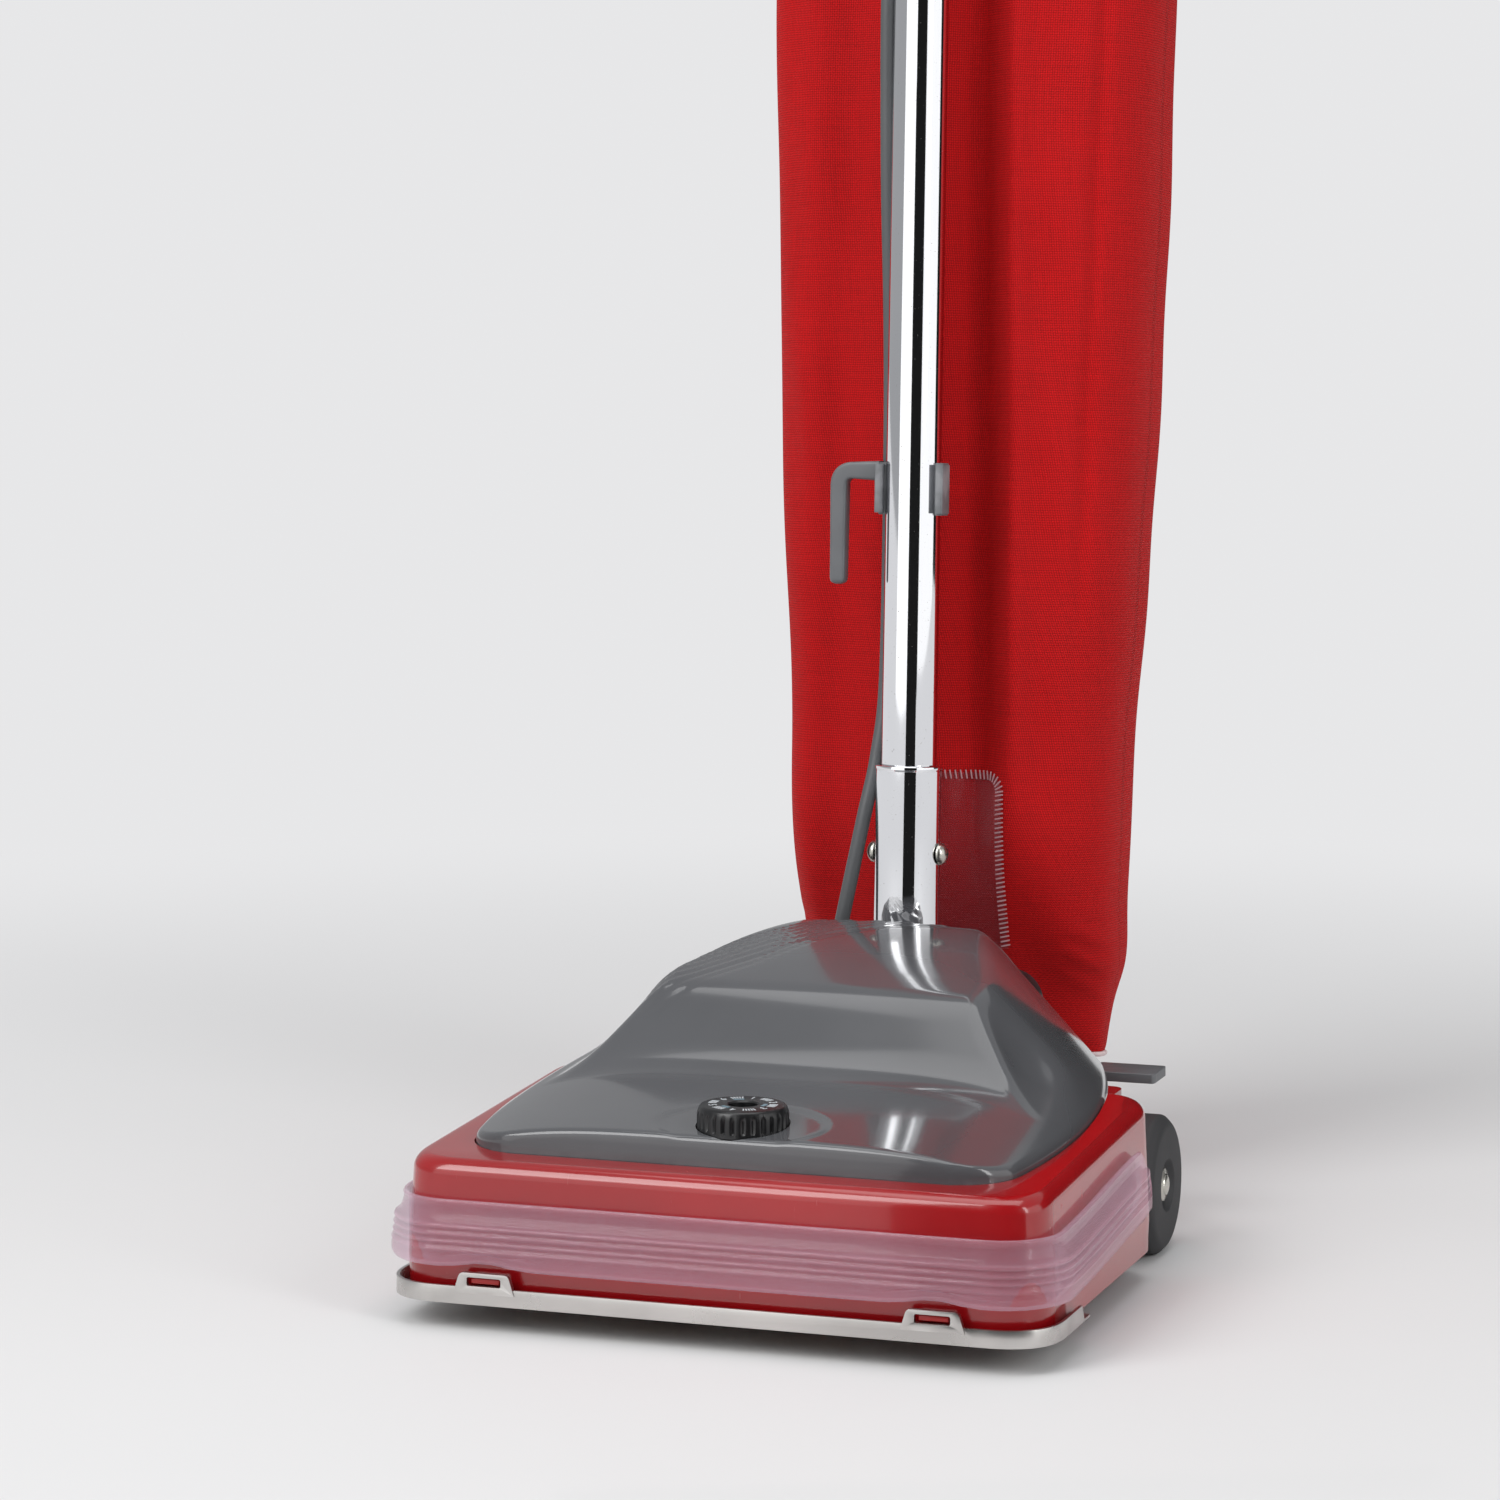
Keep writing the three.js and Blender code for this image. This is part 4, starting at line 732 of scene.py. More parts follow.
def plate():
    face, above = PLATE_LOW + SHEET, PLATE_RIM + 9
    made = slab("steel_plate", rounded_rect(-160.5, 160.5, -257, -120, 30, 16), PLATE_LOW, PLATE_RIM)
    inner = slab("inner", rounded_rect(-158.9, 158.9, -255.4, -122, 28.4, 16), face, above)
    slope = slab("slope", [(-204, above), (-196, face), (-60, face), (-60, above)], -170, 170, axis="x")
    cut(made, inner, slope, block("rear", -170, 170, -186, -80, 5, PLATE_RIM + 5))
    belly = slab("belly", rounded_rect(-96, 96, -190, 22, 14), PLATE_LOW, face)
    loops = []
    for _, s in SIDES:
        outline = [(s * LOOP_X + u, v) for u, v in ((-15, 18), (-12, 27.4), (12, 27.4), (15, 18))]
        loop = slab("loop", fillet(outline, [0, 3, 3, 0]), -257.9, -255.3, axis="y")
        opening = rounded_rect(s * LOOP_X - 8.4, s * LOOP_X + 8.4, 21.4, 25.4, 1.0, 3)
        loops.append(cut(loop, slab("hole", opening, -262, -250, axis="y")))
    join(made, belly, *loops)
    slots = [slab("slot", rounded_rect(x - 32, x + 32, -240, -202, 5), 0, 19)
             for x in (-103, -34.5, 34.5, 103)]
    slots += [slab("slot", rounded_rect(x - 16.5, x + 16.5, -190, -148, 4), 0, 30) for x in (57.5, -57.5)]
    cut(made, *slots)
    soften(made, 0.45, 2, 40)
    place(made, STEEL, "base", "bottom_plate", angle=30)
    for name, _ in SIDES:
        x, z = mid(f"plate_latch_{name}").x, PLATE_LOW
        profile = [(0, z - 2.6), (8.2, z - 2.6), (9, z - 1.8), (9, z - 0.3), (3.4, z - 0.3), (3.4, 19.4),
                   (0, 19.4)]
        latch = turned(f"latch_{name}", profile, "z", (x, 32, 0))
        join(latch, slab("tongue", rounded_rect(x - 5, x + 5, 12, 34, 4), z - 2.6, z - 0.5))
        cut(latch, block("slot", x - 0.8, x + 0.8, 26, 38, z - 4, z - 1.9))
        soften(latch, 0.3, 2, 40)
        place(latch, ZINC, f"latch_{name}", f"plate_latch_{name}")


# ------------------------------------------------------------------ height knob
FLUTES, FLUTE_STEPS, FLUTE_SHARE = 28, 10, 0.42


def knob_ring(radius, z, depth):
    """A ring of the knob with flutes depth deep."""
    out, n = [], FLUTES * FLUTE_STEPS
    for i in range(n):
        a = 2 * math.pi * i / n
        t = abs((i % FLUTE_STEPS) / FLUTE_STEPS - 0.5) * 2
        r = radius - depth * (1 - t / FLUTE_SHARE) ** 0.5 if t < FLUTE_SHARE else radius
        out.append((KNOB.x + r * math.cos(a), KNOB.y + r * math.sin(a), z))
    return out


PRINT_FOOT, PRINT_THICK = KNOB_TOP + 0.02, 0.12


def printed(name, look, arcs):
    """Raised print on the knob. An arc is (middle angle, half-angle, inner radius, outer radius, steps)."""
    verts, faces = [], []
    for a, half, r0, r1, steps in arcs:
        k = len(verts)
        faces += [(k + i, k + i + 1, k + i + steps + 2, k + i + steps + 1) for i in range(steps)]
        verts += [(KNOB.x + r * math.cos(t), KNOB.y + r * math.sin(t)) for r in (r0, r1)
                  for t in np.linspace(a - half, a + half, steps + 1)]
    n = len(verts)
    solid = [face for f in faces for face in (tuple(i + n for i in f), f[::-1])]
    edges = [(a, b) for f in faces for a, b in zip(f, f[1:] + f[:1])]
    solid += [(a, b, b + n, a + n) for a, b in edges if (b, a) not in edges]
    points = [(x, y, PRINT_FOOT + h) for h in (0, PRINT_THICK) for x, y in verts]
    place(raw(name, points, solid), look, "dial")


def dial_number(k):
    a = math.radians(90 - 60 * k)
    text = bpy.data.curves.new(f"number_{k + 1}", "FONT")
    text.body, text.size, text.extrude, text.resolution_u = str(k + 1), 5.6 * MM, 0.06 * MM, 3
    text.align_x = text.align_y = "CENTER"
    obj = added(f"dial_number_{k + 1}", text)
    at = Vector((KNOB.x + 14 * math.cos(a), KNOB.y + 14 * math.sin(a), PRINT_FOOT + 0.06))
    obj.matrix_world = Matrix.Translation(at * MM) @ Matrix.Rotation(a - math.pi / 2, 4, "Z")
    bpy.context.view_layer.update()
    mesh = bpy.data.meshes.new_from_object(obj.evaluated_get(bpy.context.evaluated_depsgraph_get()))
    mesh.transform(obj.matrix_world)
    bpy.data.objects.remove(obj)
    place(added(f"dial_number_{k + 1}", mesh), WHITE, "dial")


def knob():
    at, top, r, low = (KNOB.x, KNOB.y, 0), KNOB_TOP, KNOB_R, KNOB_SKIRT
    rings = [knob_ring(r - inset, z, depth) for inset, z, depth in (
        (1.6, low, 0), (0, low + 0.6, 0), (0, low + 2.4, 0), (0, low + 3.2, 1.1), (0, top - 4.4, 1.1),
        (0.2, top - 3.2, 0.5), (0.5, top - 2.4, 0), (0.9, top - 1.2, 0), (1.7, top - 0.35, 0), (2.8, top, 0))]
    made = loft("dial_knob", rings)
    well = [(0, top - 8), (6.6, top - 8), (7, top - 0.7), (7.7, top + 0.01), (7.7, top + 4), (0, top + 4)]
    cut(made, turned("well", well, "z", at))
    ramp = turned("ramp", [(11, 78.5), (17.5, 78.5), (17.5, low + 1), (11, low + 1)], "z", at)
    join(made, rod("stem", "z", 4, 68, low + 2, at), ramp)
    place(made, BLACK, "dial", "height_knob", angle=38)
    marks = [math.radians(90 + 60 * k + 20 + 5 * j) for k in range(6) for j in range(5)]
    printed("dial_marks", WHITE, [(a, 0.02, 12.5, 16.4, 1) for a in marks])
    patches = [math.radians(90 + 60 * k + 30) for k in (0, 2, 4)]
    printed("dial_patches", BLUE, [(a, 0.24, 9.6, 11.6, 8) for a in patches])
    for k in range(6):
        dial_number(k)


# ------------------------------------------------------------------ wheels, pedal, duct
def wheels():
    outline = fillet([(5.5, 127), (31, 127), (34, 130), (34, 145.5), (29.5, 150), (13, 150), (10.2, 146.5),
                      (5.5, 146.5)], [0, 2, 3, 4, 6, 1.2, 1, 0], 6)
    stub = fillet([(0, 101), (5, 101), (5, 146.9), (8.2, 146.9), (8.4, 147.6), (7.9, 148.2), (5.2, 148.9),
                   (4.9, 149.5), (3.4, 150), (0, 150.2)], 0.4, 3, False)
    front = fillet([(2.6, -6), (11.5, -6), (13, -4.5), (13, 4.5), (11.5, 6), (2.6, 6)],
                   [0, 1.5, 2, 2, 1.5, 0], 4)
    centre = (0, AXLE_Y, AXLE_Z)
    for name, s in SIDES:
        wheel = turned(f"wheel_{name}", [(r, s * h) for r, h in outline], "x", centre, 96)
        place(wheel, RUBBER, f"wheel_rear_{name}", f"rear_wheel_{name}", angle=30)
        axle = turned(f"axle_{name}", [(r, s * h) for r, h in stub], "x", centre, 48)
        place(axle, ZINC, "base", f"rear_axle_{name}")
        at = (s * FRONT_WHEEL.x, FRONT_WHEEL.y, FRONT_WHEEL.z)
        small = turned(f"small_wheel_{name}", front, "x", at, 48)
        place(small, BLACK, f"wheel_front_{name}", f"front_wheel_{name}")


def pedal():
    outline = fillet([(92, 61), (127, 61), (127.6, 64), (127.6, 84), (127, 87), (92, 87), (92, 79.6),
                      (84, 79.6), (84, 68.4), (92, 68.4)], [4, 9, 2, 2, 9, 4, 0.5, 1, 1, 0.5], 8)
    made = slab("pedal_tongue", outline, 71.2, 76)
    cut(made, slab("scoop", rounded_rect(97, 122, 64, 84, 7), 60, 73.6))
    soften(made, 1.6, 4, 50)
    bar = block("bar", 27, 98, 69, 79, 68, 74)
    pawl = block("pawl", 23.7, 32, 64, 78.4, 68, 74)
    join(made, bar, pawl, rod("hub", "y", 5.5, 68, 80, PEDAL_PIN))
    cut(made, rod("bore", "y", PIN_HOLE, 50, 95, PEDAL_PIN))
    place(made, GREY_MATT, "pedal", "release_pedal")
    rivet = [(0, 62.6), (3, 62.6), (3.6, 63.4), (2.3, 63.9), (2.3, 84.5), (0, 84.9)]
    place(turned("pedal_rivet", rivet, "y", PEDAL_PIN, 32), ZINC, "base", "pedal_pin")


BEND_R, BEND_FOOT, BEND_SHARE, BEND_STEPS = 24, 82, 0.92, 12  # the share is that of a quarter turn


def bend(r, start, out):
    """Rings of the duct: upright, then bent backwards, then straight on by out."""
    rings = [(DUCT_Y, start, 0), (DUCT_Y, BEND_FOOT, 0)]
    for i in range(1, BEND_STEPS + 1):
        t = i / BEND_STEPS * math.pi / 2 * BEND_SHARE
        rings.append((DUCT_Y + BEND_R * (1 - math.cos(t)), BEND_FOOT + BEND_R * math.sin(t), t))
    y, z, t = rings[-1]
    rings.append((y + out * math.sin(t), z + out * math.cos(t), t))
    return [[(DUCT_X + r * math.cos(a), y + r * math.sin(a) * math.cos(t), z - r * math.sin(a) * math.sin(t))
             for a in np.linspace(0, 2 * math.pi, 49)[:-1]] for y, z, t in rings]


def duct():
    made = cut(loft("air_duct", bend(16, 57.3, 14)), loft("bore", bend(14, 50, 22)))
    place(made, BLACK, "base", "exhaust_duct")
    collar = [(16.05, 60), (18, 60), (18.6, 61), (18.6, 66), (18, 67), (16.05, 67)]
    place(turned("duct_collar", collar, "z", (DUCT_X, DUCT_Y, 0), 64), BLACK, "base")


# ------------------------------------------------------------------ tube and fittings, in the handle's frame
GRIP_PATH = [(0, 0, 940), (0, 2, 970), (0, 17, 1011), (0, 46, 1050), (0, 88, 1080), (0, 140, 1097)]
JOINT_GAP = 0.4


def tube():
    ends = (TUBE_FOOT, TUBE_JOINT - JOINT_GAP)
    outline = fillet([(12.8, ends[0]), (TUBE_R, ends[0]), (TUBE_R, ends[1]), (12.8, ends[1])], 0.5, 4)
    place(turned("tube_main", outline, "z", (0, 0, 0), 128, True), CHROME, "handle", "main_tube")
    outline = fillet([(14.6, 50.5), (17, 50.5), (17, 165.2), (17.35, 166.2), (17.35, 167.6), (16.6, 168),
                      (14.6, 168)], [0.3, 0.6, 1, 0.5, 0.4, 0.3, 0.2], 3)
    place(turned("tube_socket", outline, "z", (0, 0, 0), 128, True), CHROME, "handle", "lower_socket")
    head = [(0, 9), (2.5, 9), (2.5, 16.9), (5.7, 16.9), (5.8, 17.6), (5.4, 18.9), (4.4, 20.1), (2.8, 21.1),
            (0, 21.5)]
    for name, s in SIDES:
        screw = turned(f"screw_{name}", [(r, s * h) for r, h in head], "x", (0, 0, SCREW_Z), 40, True)
        for a, b in ((2.7, 0.55), (0.55, 2.7)):
            cut(screw, block("cross", *sided(s, 19.6, 23), -a, a, SCREW_Z - b, SCREW_Z + b, True))
        place(screw, ZINC, "handle", f"socket_screw_{name}", angle=30)
    path = [Vector((0, 0, TUBE_JOINT + JOINT_GAP)), Vector((0, 0, 760))] + curve_points(GRIP_PATH, 14)
    made = loft("tube_upper", sweep_rings(path, circle(TUBE_R, 64)), True)
    place(made, CHROME, "handle", "upper_tube")


GRIP_R, FINGER_RINGS = 17.2, 13


def grip():
    """Moulded hand grip with a flared rim at each end and rings for the fingers."""
    path = curve_points(GRIP_PATH, 30)
    path = path[int(len(path) * 0.34):]
    end = path[-1] + (path[-1] - path[-2]).normalized() * 8
    path += [path[-1].lerp(end, t) for t in (0.25, 0.5, 0.75, 1)]
    radii, n = [], len(path)
    for i in range(n):
        t = i / (n - 1)
        ring = 0.5 * (0.5 - 0.5 * math.cos(2 * math.pi * t * FINGER_RINGS)) if 0.2 < t < 0.86 else 0
        flare = 1.0 * float(bell(t, 0.015, 0.03)) + 1.2 * float(bell(t, 0.97, 0.05))
        radii.append((GRIP_R - 0.7 * ring + flare) / GRIP_R)
    radii[0], radii[-2], radii[-1] = 0.9, 0.97, 0.72
    made = loft("handle_grip", sweep_rings(path, circle(GRIP_R, 64), radii), True)
    place(made, GREY_MATT, "handle", "hand_grip", angle=50)


def switch():
    outline = fillet([(-13, -32), (13, -32), (13, -8), (-13, -8)], [6, 6, 1.5, 1.5], 6)
    made = slab("switch_box", outline, 858, 922, True)
    cut(made, rod("tube", "z", TUBE_R + 0.3, 840, 940, (0, 0, 0), True),
        block("slot", -8.5, 8.5, -40, -24, 877, 903, True))
    soften(made, 1.6, 3, 40)
    place(made, BLACK, "handle", "switch_housing")
    profile = fillet([(-25.2, 882), (-25.2, 898), (-33, 901), (-35.5, 901), (-33, 890), (-34, 879),
                      (-32, 879)], [0, 0, 1, 0.8, 8, 0.8, 1], 5)
    rocker = slab("rocker", profile, -7.6, 7.6, True, "x")
    soften(rocker, 0.6, 3, 50)
    place(rocker, GREY_MATT, "switch", "switch_rocker", slot="black_plastic")


def bail():
    """Steel fork that carries the tube on the base's trunnion."""
    notch = fillet([(-11, -6), (-6, -11), (6, -11), (11, -6), (20, -1), (22, 3), (17.5, 5), (17.5, 14),
                    (20.5, 15.5), (19, 20), (13, 28), (13, 50), (-13, 50), (-13, 8)],
                   [5, 5, 5, 4, 2, 1, 1, 1, 1, 3, 8, 0, 0, 10], 4)
    plain = fillet([(-11, -6), (-6, -11), (6, -11), (11, -6), (13, 8), (13, 50), (-13, 50), (-13, 8)],
                   [5, 5, 5, 5, 8, 0, 0, 8], 4)
    made = slab("handle_fork", notch, 19.6, 22.6, True, "x")
    other = slab("other", plain, -22.6, -19.6, True, "x")
    top = block("top", -22.6, 22.6, -13, 13, 46.4, 50, True)
    spigot = rod("spigot", "z", 13.9, 49.5, 61, (0, 0, 0), True)
    join(made, other, top, rod("bridge", "z", 17, 45, 50.2, (0, 0, 0), True), spigot)
    cut(made, rod("bore", "x", PIVOT_HOLE, -30, 30, (0, 0, 0), True),
        rod("hollow", "z", 11.5, 40, 70, (0, 0, 0), True))
    soften(made, 0.5, 3, 40)
    place(made, ZINC, "handle", "handle_bail")
    pin = [(0, -25), (4.4, -25), (5.6, -24.2), (5.6, -23.4), (4.2, -23)]
    pin += [(r, -x) for r, x in pin[::-1]]
    place(turned("pivot_pin", pin, "x", (0, PIVOT.y, PIVOT.z), 40), ZINC, "base", "handle_pivot_pin")


# ------------------------------------------------------------------ cord hooks and cord
HOOK_SECTION = rounded_rect(-4.4, 4.4, -4.4, 4.4, 1.7, 4)


def hook_clip(name, z, half):
    """C-shaped clip on the tube with a small ear at each end of the opening."""
    r = TUBE_R + 0.15
    outline = fillet([(r, z - half), (r + 3.6, z - half), (r + 3.6, z + half), (r, z + half)], 0.8, 4)
    made = turned(name, outline, "z", (0, 0, 0), 96, True)
    cut(made, block("front", -30, 30, -40, -5.5, z - 30, z + 30, True))
    ears = [slab("ear", fillet([(s * 14.2, -9.5), (s * 18.4, -9.5), (s * 18.4, 4), (s * 14.2, 4)], 1.2, 3),
                 z - half + 1, z + half - 1, True) for _, s in SIDES]
    join(made, *ears)
    return cut(made, rod("tube", "z", r, z - 30, z + 30, (0, 0, 0), True))


def lower_arm(name):
    """Arm out to the side, then a leg down the tube with a rounded tip."""
    high, out = LOWER_HOOK_Z + 9, -39.8
    path = fillet([(-17.5, high), (out, high), (out, LOWER_HOOK_Z - 50)], [0, 8, 0], 12, False)
    line = [Vector((x, 0, z)) for x, z in path]
    fine = [line[0].lerp(line[1], t) for t in (0, 0.5)] + line[1:-1]
    leg = line[-1] - line[-2]
    fine += [line[-2] + leg * t for t in (0.25, 0.5, 0.75, 0.94, 0.97, 0.985, 0.995, 1)]
    radii = [1.16, 1.08] + [1.0] * (len(line) - 2) + [0.98, 0.95, 0.93, 0.92, 0.84, 0.7, 0.5, 0.25]
    return loft(name, sweep_rings(fine, HOOK_SECTION, radii, (0, 1, 0)), True)


def hooks():
    made = hook_clip("hook_lower", LOWER_HOOK_Z, 13.5)
    join(made, lower_arm("arm"))
    place(made, GREY_MATT, "handle", "lower_cord_hook", angle=40)
    at = (0, 0, UPPER_HOOK_Z)
    clip = hook_clip("hook_clip_upper", UPPER_HOOK_Z, 12)
    boss = rod("boss", "x", 7, -24, -16.5, at, True)
    cut(boss, rod("tube", "z", TUBE_R + 0.1, 760, 820, (0, 0, 0), True))
    join(clip, boss, rod("pin", "x", 3, -31, -23, at, True))
    place(clip, GREY_MATT, "handle", "upper_hook_clip", angle=40)
    outline = fillet([(3.5, -24.5), (6, -24.5), (6, -37), (4.4, -38.6), (0, -38.6), (0, -33), (3.5, -33)],
                     [0.3, 1, 1, 0.5, 0, 0, 0], 3)
    arm = turned("hook_upper", outline, "x", at, 48, True)
    path = [Vector((-41.8, 0, z)) for z in (784.5, 786, 788, 792, 840, 844, 846, 847.5, 848.2)]
    radii = [0.6, 0.86, 1, 1, 1, 0.92, 0.8, 0.55, 0.25]
    join(arm, loft("leg", sweep_rings(path, HOOK_SECTION, radii), True))
    place(arm, GREY_MATT, "cord_hook", "upper_cord_hook", angle=40)


CORD_LOW = [(CORD_X, CORD_Y, 50), (-44, 45.6, 70), (-43.6, 45, 92), (-39, 42.4, 122)]
CORD_HIGH = [(-23.8, -3.4, 136), (-19.8, 8, 172), (-17.8, 14.8, 215), (-17.6, 14.8, 330), (-16.7, 8, 400),
             (-18, 2.6, 487), (-18.4, 1, 600), (-17.8, 15, 770), (-17.8, 15, 812), (-19, -4, 832),
             (-10, -19, 856)]
CORD_R = 3.75


def supply_cord():
    """The cord's lower points stand in the row frame and the upper ones in the handle's."""
    points = [Vector(p) for p in CORD_LOW] + [HANDLE @ Vector(p) for p in CORD_HIGH]
    path = curve_points(points, 14)
    radii = [0.6] + [1.0] * (len(path) - 2) + [0.6]
    made = loft("supply_cord", sweep_rings(path, circle(CORD_R, 20), radii))
    place(made, CORD, None, "power_cord_lower", "power_cord_upper", angle=60)
    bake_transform(made)
    relief = fillet([(3.95, 52), (5.6, 52), (5.6, 60), (5.2, 62), (5.2, 66), (4.9, 68), (4.6, 74),
                     (3.95, 74)], 0.4, 3)
    place(turned("cord_relief", relief, "z", (CORD_X, CORD_Y, 0), 40), RUBBER, "base", "strain_relief")


# ------------------------------------------------------------------ bag
# rows of (height, half-width, y of the front, y of the back), in the handle's frame
BAG = np.array([[12, 78, 90, 114], [16, 78.5, 87, 121], [24, 79, 81, 130], [40, 80.5, 75, 140],
                [70, 84.5, 57, 149], [105, 87.5, 44, 154], [190, 90.5, 39, 160], [310, 98, 37, 166],
                [480, 104, 36, 168], [600, 107, 37, 162], [720, 100, 41, 146], [800, 86, 47, 120],
                [850, 76, 56, 94], [BAG_TOP, 70, 66, 76]], float)
SQUARE = 0.62  # under 1 makes the bag's section boxier than an ellipse


def slump(obj):
    """Gives the bag, or a piece sewn to it, its own copy of its mesh."""
    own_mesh(obj)


def spline(xs, ys, x):
    """A smooth curve through a table of values."""
    m = np.gradient(ys, xs)
    k = np.clip(np.searchsorted(xs, x) - 1, 0, len(xs) - 2)
    h = xs[k + 1] - xs[k]
    t = (x - xs[k]) / h
    return ((2 * t ** 3 - 3 * t ** 2 + 1) * ys[k] + (t ** 3 - 2 * t ** 2 + t) * h * m[k]
            + (3 * t ** 2 - 2 * t ** 3) * ys[k + 1] + (t ** 3 - t ** 2) * h * m[k + 1])


def section(z):
    """Half-width, half-depth and middle of the bag at a height."""
    half, near, far = (spline(BAG[:, 0], BAG[:, c], np.array(z, float)) for c in (1, 2, 3))
    return half, (far - near) / 2, (far + near) / 2


def loose(z):
    """0 where the cloth is held at its top and bottom, 1 between them."""
    return smooth(BAG_TOP - z, 0, 120) * smooth(z, 14, 60)


def sway(z):
    """How far the long folds wander to the side."""
    return 6 * np.sin(z / 150)


def drape(x, z):
    """How far the front lies behind its plain section: a valley beside the tube, ridges and a long fold."""
    drift = sway(z)
    push = 13 * bell(x, 19 + 0.5 * drift, 12) * smooth(z, 60, 200) * (1 - 0.4 * smooth(z, 560, 800))
    push = push - 6 * bell(x, 43 + 0.3 * drift, 7) * smooth(z, 80, 240)
    push = push + 3.2 * bell(x, 77 + 0.03 * (z - 300), 3.6) * smooth(z, 180, 320)
    return push + 3 * bell(x, -48 - 0.5 * drift, 13) - 2.5 * bell(x, -72, 11)


RNG = np.random.default_rng(7)
WAVES = [(RNG.uniform(0.6, 1.4), f, RNG.uniform(0, 6.28), RNG.uniform(0.02, 0.06))
         for f in (1, 2, 3, 1, 2, 3, 4) * 2]  # size, waves across, phase, waves up


def ripple(x, z):
    """Small waves, strongest near the cloth's two ends."""
    low = 0.7 * bell(z, 60, 26) + 0.9 * bell(z, 860, 60) + 0.28
    return 0.6 * low * loose(z) * sum(size * np.sin(x * f * 0.05 + z * k + p) for size, f, p, k in WAVES)


def facing(depth):
    """Fades a change of the front or back out towards the bag's sides."""
    return smooth(depth, 0.05, 0.5)


def bag_front(x, z):
    """y of the cloth's front at a place on it."""
    half, b, c = section(z)
    s = np.sqrt(np.maximum(1 - (np.abs(x) / half) ** (2 / SQUARE), 0))
    return c - b * s ** SQUARE + facing(s) * loose(z) * drape(x, z) - s * ripple(x, z)


def bag():
    heights = np.concatenate([np.linspace(BAG[0, 0], 60, 24), np.linspace(64, BAG_TOP, 230)])
    t = np.linspace(0, 2 * math.pi, 300, endpoint=False)
    side, depth = np.cos(t), np.sin(t)
    rings, uv = [], []
    for z in heights:
        half, b, c = section(z)
        x = half * np.sign(side) * np.abs(side) ** SQUARE
        y = c + b * np.sign(depth) * np.abs(depth) ** SQUARE
        drift, wave = sway(z), ripple(x, z)
        behind = 5 * bell(x, drift - 20, 14) + 4 * bell(x, 40 - drift, 12) - 3 * bell(x, 5, 15)
        y = y + facing(-depth) * loose(z) * drape(x, z)
        y = y + facing(depth) * loose(z) * behind
        x, y = x + side * wave, y + depth * wave
        pucker = bell(x, 84, 14) * np.sin(z * 0.42 + x * 0.2) + bell(x, -80, 16) * np.sin(z * 0.4)
        y = y + facing(-depth) * 2.6 * bell(z, 66, 16) * pucker
        step = np.hypot(np.diff(x, append=x[0]), np.diff(y, append=y[0]))
        run = np.concatenate([[0], np.cumsum(step)[:-1]]) * MM
        rings.append([(px, py, z) for px, py in zip(x, y)])
        uv += [(float(r), z * MM) for r in run]
    made = loft("dust_bag", rings, True, uv=uv)
    place(made, CLOTH, "handle", "bag_cloth", "paper_bag", angle=60)
    slump(made)


POCKET_LEFT, POCKET_RIGHT, POCKET_LOW, POCKET_HIGH, POCKET_CORNER = -8, 38, 70, 162, 9


def stitches(name, pairs, r):
    """Short six-sided threads between pairs of points."""
    verts, faces = [], []
    for a, b in pairs:
        base, ahead = len(verts), (b - a).normalized()
        side = ahead.cross(Vector((0, 1, 0))).normalized()
        up = ahead.cross(side)
        for end in (a, b):
            verts += [end + side * (r * u) + up * (r * v) for u, v in circle(1, 6)]
        faces += skin(6, 2, first=base)
    return raw(name, verts, faces, True)


def on_bag(x, z, lift):
    """A point lift in front of the cloth."""
    return Vector((x, float(bag_front(np.array(float(x)), float(z))) - lift, z))


def pocket():
    """Clear pocket sewn to the lower front of the bag, overlocked along its top and right edges."""
    cx, cz = POCKET_RIGHT - POCKET_CORNER, POCKET_HIGH - POCKET_CORNER
    rings = []
    for z in np.linspace(POCKET_LOW, POCKET_HIGH, 56):
        past = max(z - cz, 0)
        across = np.linspace(POCKET_LEFT, cx + math.sqrt(max(POCKET_CORNER ** 2 - past ** 2, 0)), 24)
        rings.append([on_bag(x, z, 1.3) for x in across] + [on_bag(x, z, 0.5) for x in across[::-1]])
    film = loft("clear_pocket", rings, True)
    place(film, POCKET, "handle", "bag_pocket", angle=40)
    rim = [(POCKET_RIGHT, z, 1, 0) for z in np.arange(POCKET_LOW + 2, cz, 2.4)]
    rim += [(cx + POCKET_CORNER * math.cos(a), cz + POCKET_CORNER * math.sin(a), math.cos(a), math.sin(a))
            for a in np.linspace(0, math.pi / 2, 7)]
    rim += [(x, POCKET_HIGH, 0, 1) for x in np.arange(cx - 2.4, POCKET_LEFT, -2.4)]
    pairs = []
    for x, z, u, v in rim:  # each stitch crosses the edge, a little aslant
        inside = on_bag(x - 3.2 * u + 0.5 * v, z - 3.2 * v - 0.5 * u, 1.6)
        pairs.append((inside, on_bag(x + 1.3 * u - 0.5 * v, z + 1.3 * v + 0.5 * u, 1.0)))
    sewn = stitches("pocket_stitching", pairs, 0.42)
    place(sewn, THREAD, "handle")
    slump(film)
    slump(sewn)


def piping():
    """White piping round the bag's bottom edge."""
    z = BAG[0, 0] + 1.2
    half, b, c = section(z)
    rings = []
    for t in np.linspace(0, 2 * math.pi, 160, endpoint=False):
        u, v = math.cos(t), math.sin(t)
        x, y = half * math.copysign(abs(u) ** SQUARE, u), b * math.copysign(abs(v) ** SQUARE, v)
        at = Vector((x, c + y, z))
        out = Vector((u, v, 0)).normalized()
        rings.append([at + out * (0.5 + p) + Vector((0, 0, q)) for p, q in circle(1.3, 10)])
    made = loft("bag_piping", rings, True, closed=True)
    place(made, PIPING, "handle")
    slump(made)


for build in (hood, casting, guard, plate, knob, wheels, pedal, duct, tube, grip, switch, bail, hooks,
              supply_cord, bag, pocket, piping):
    build()

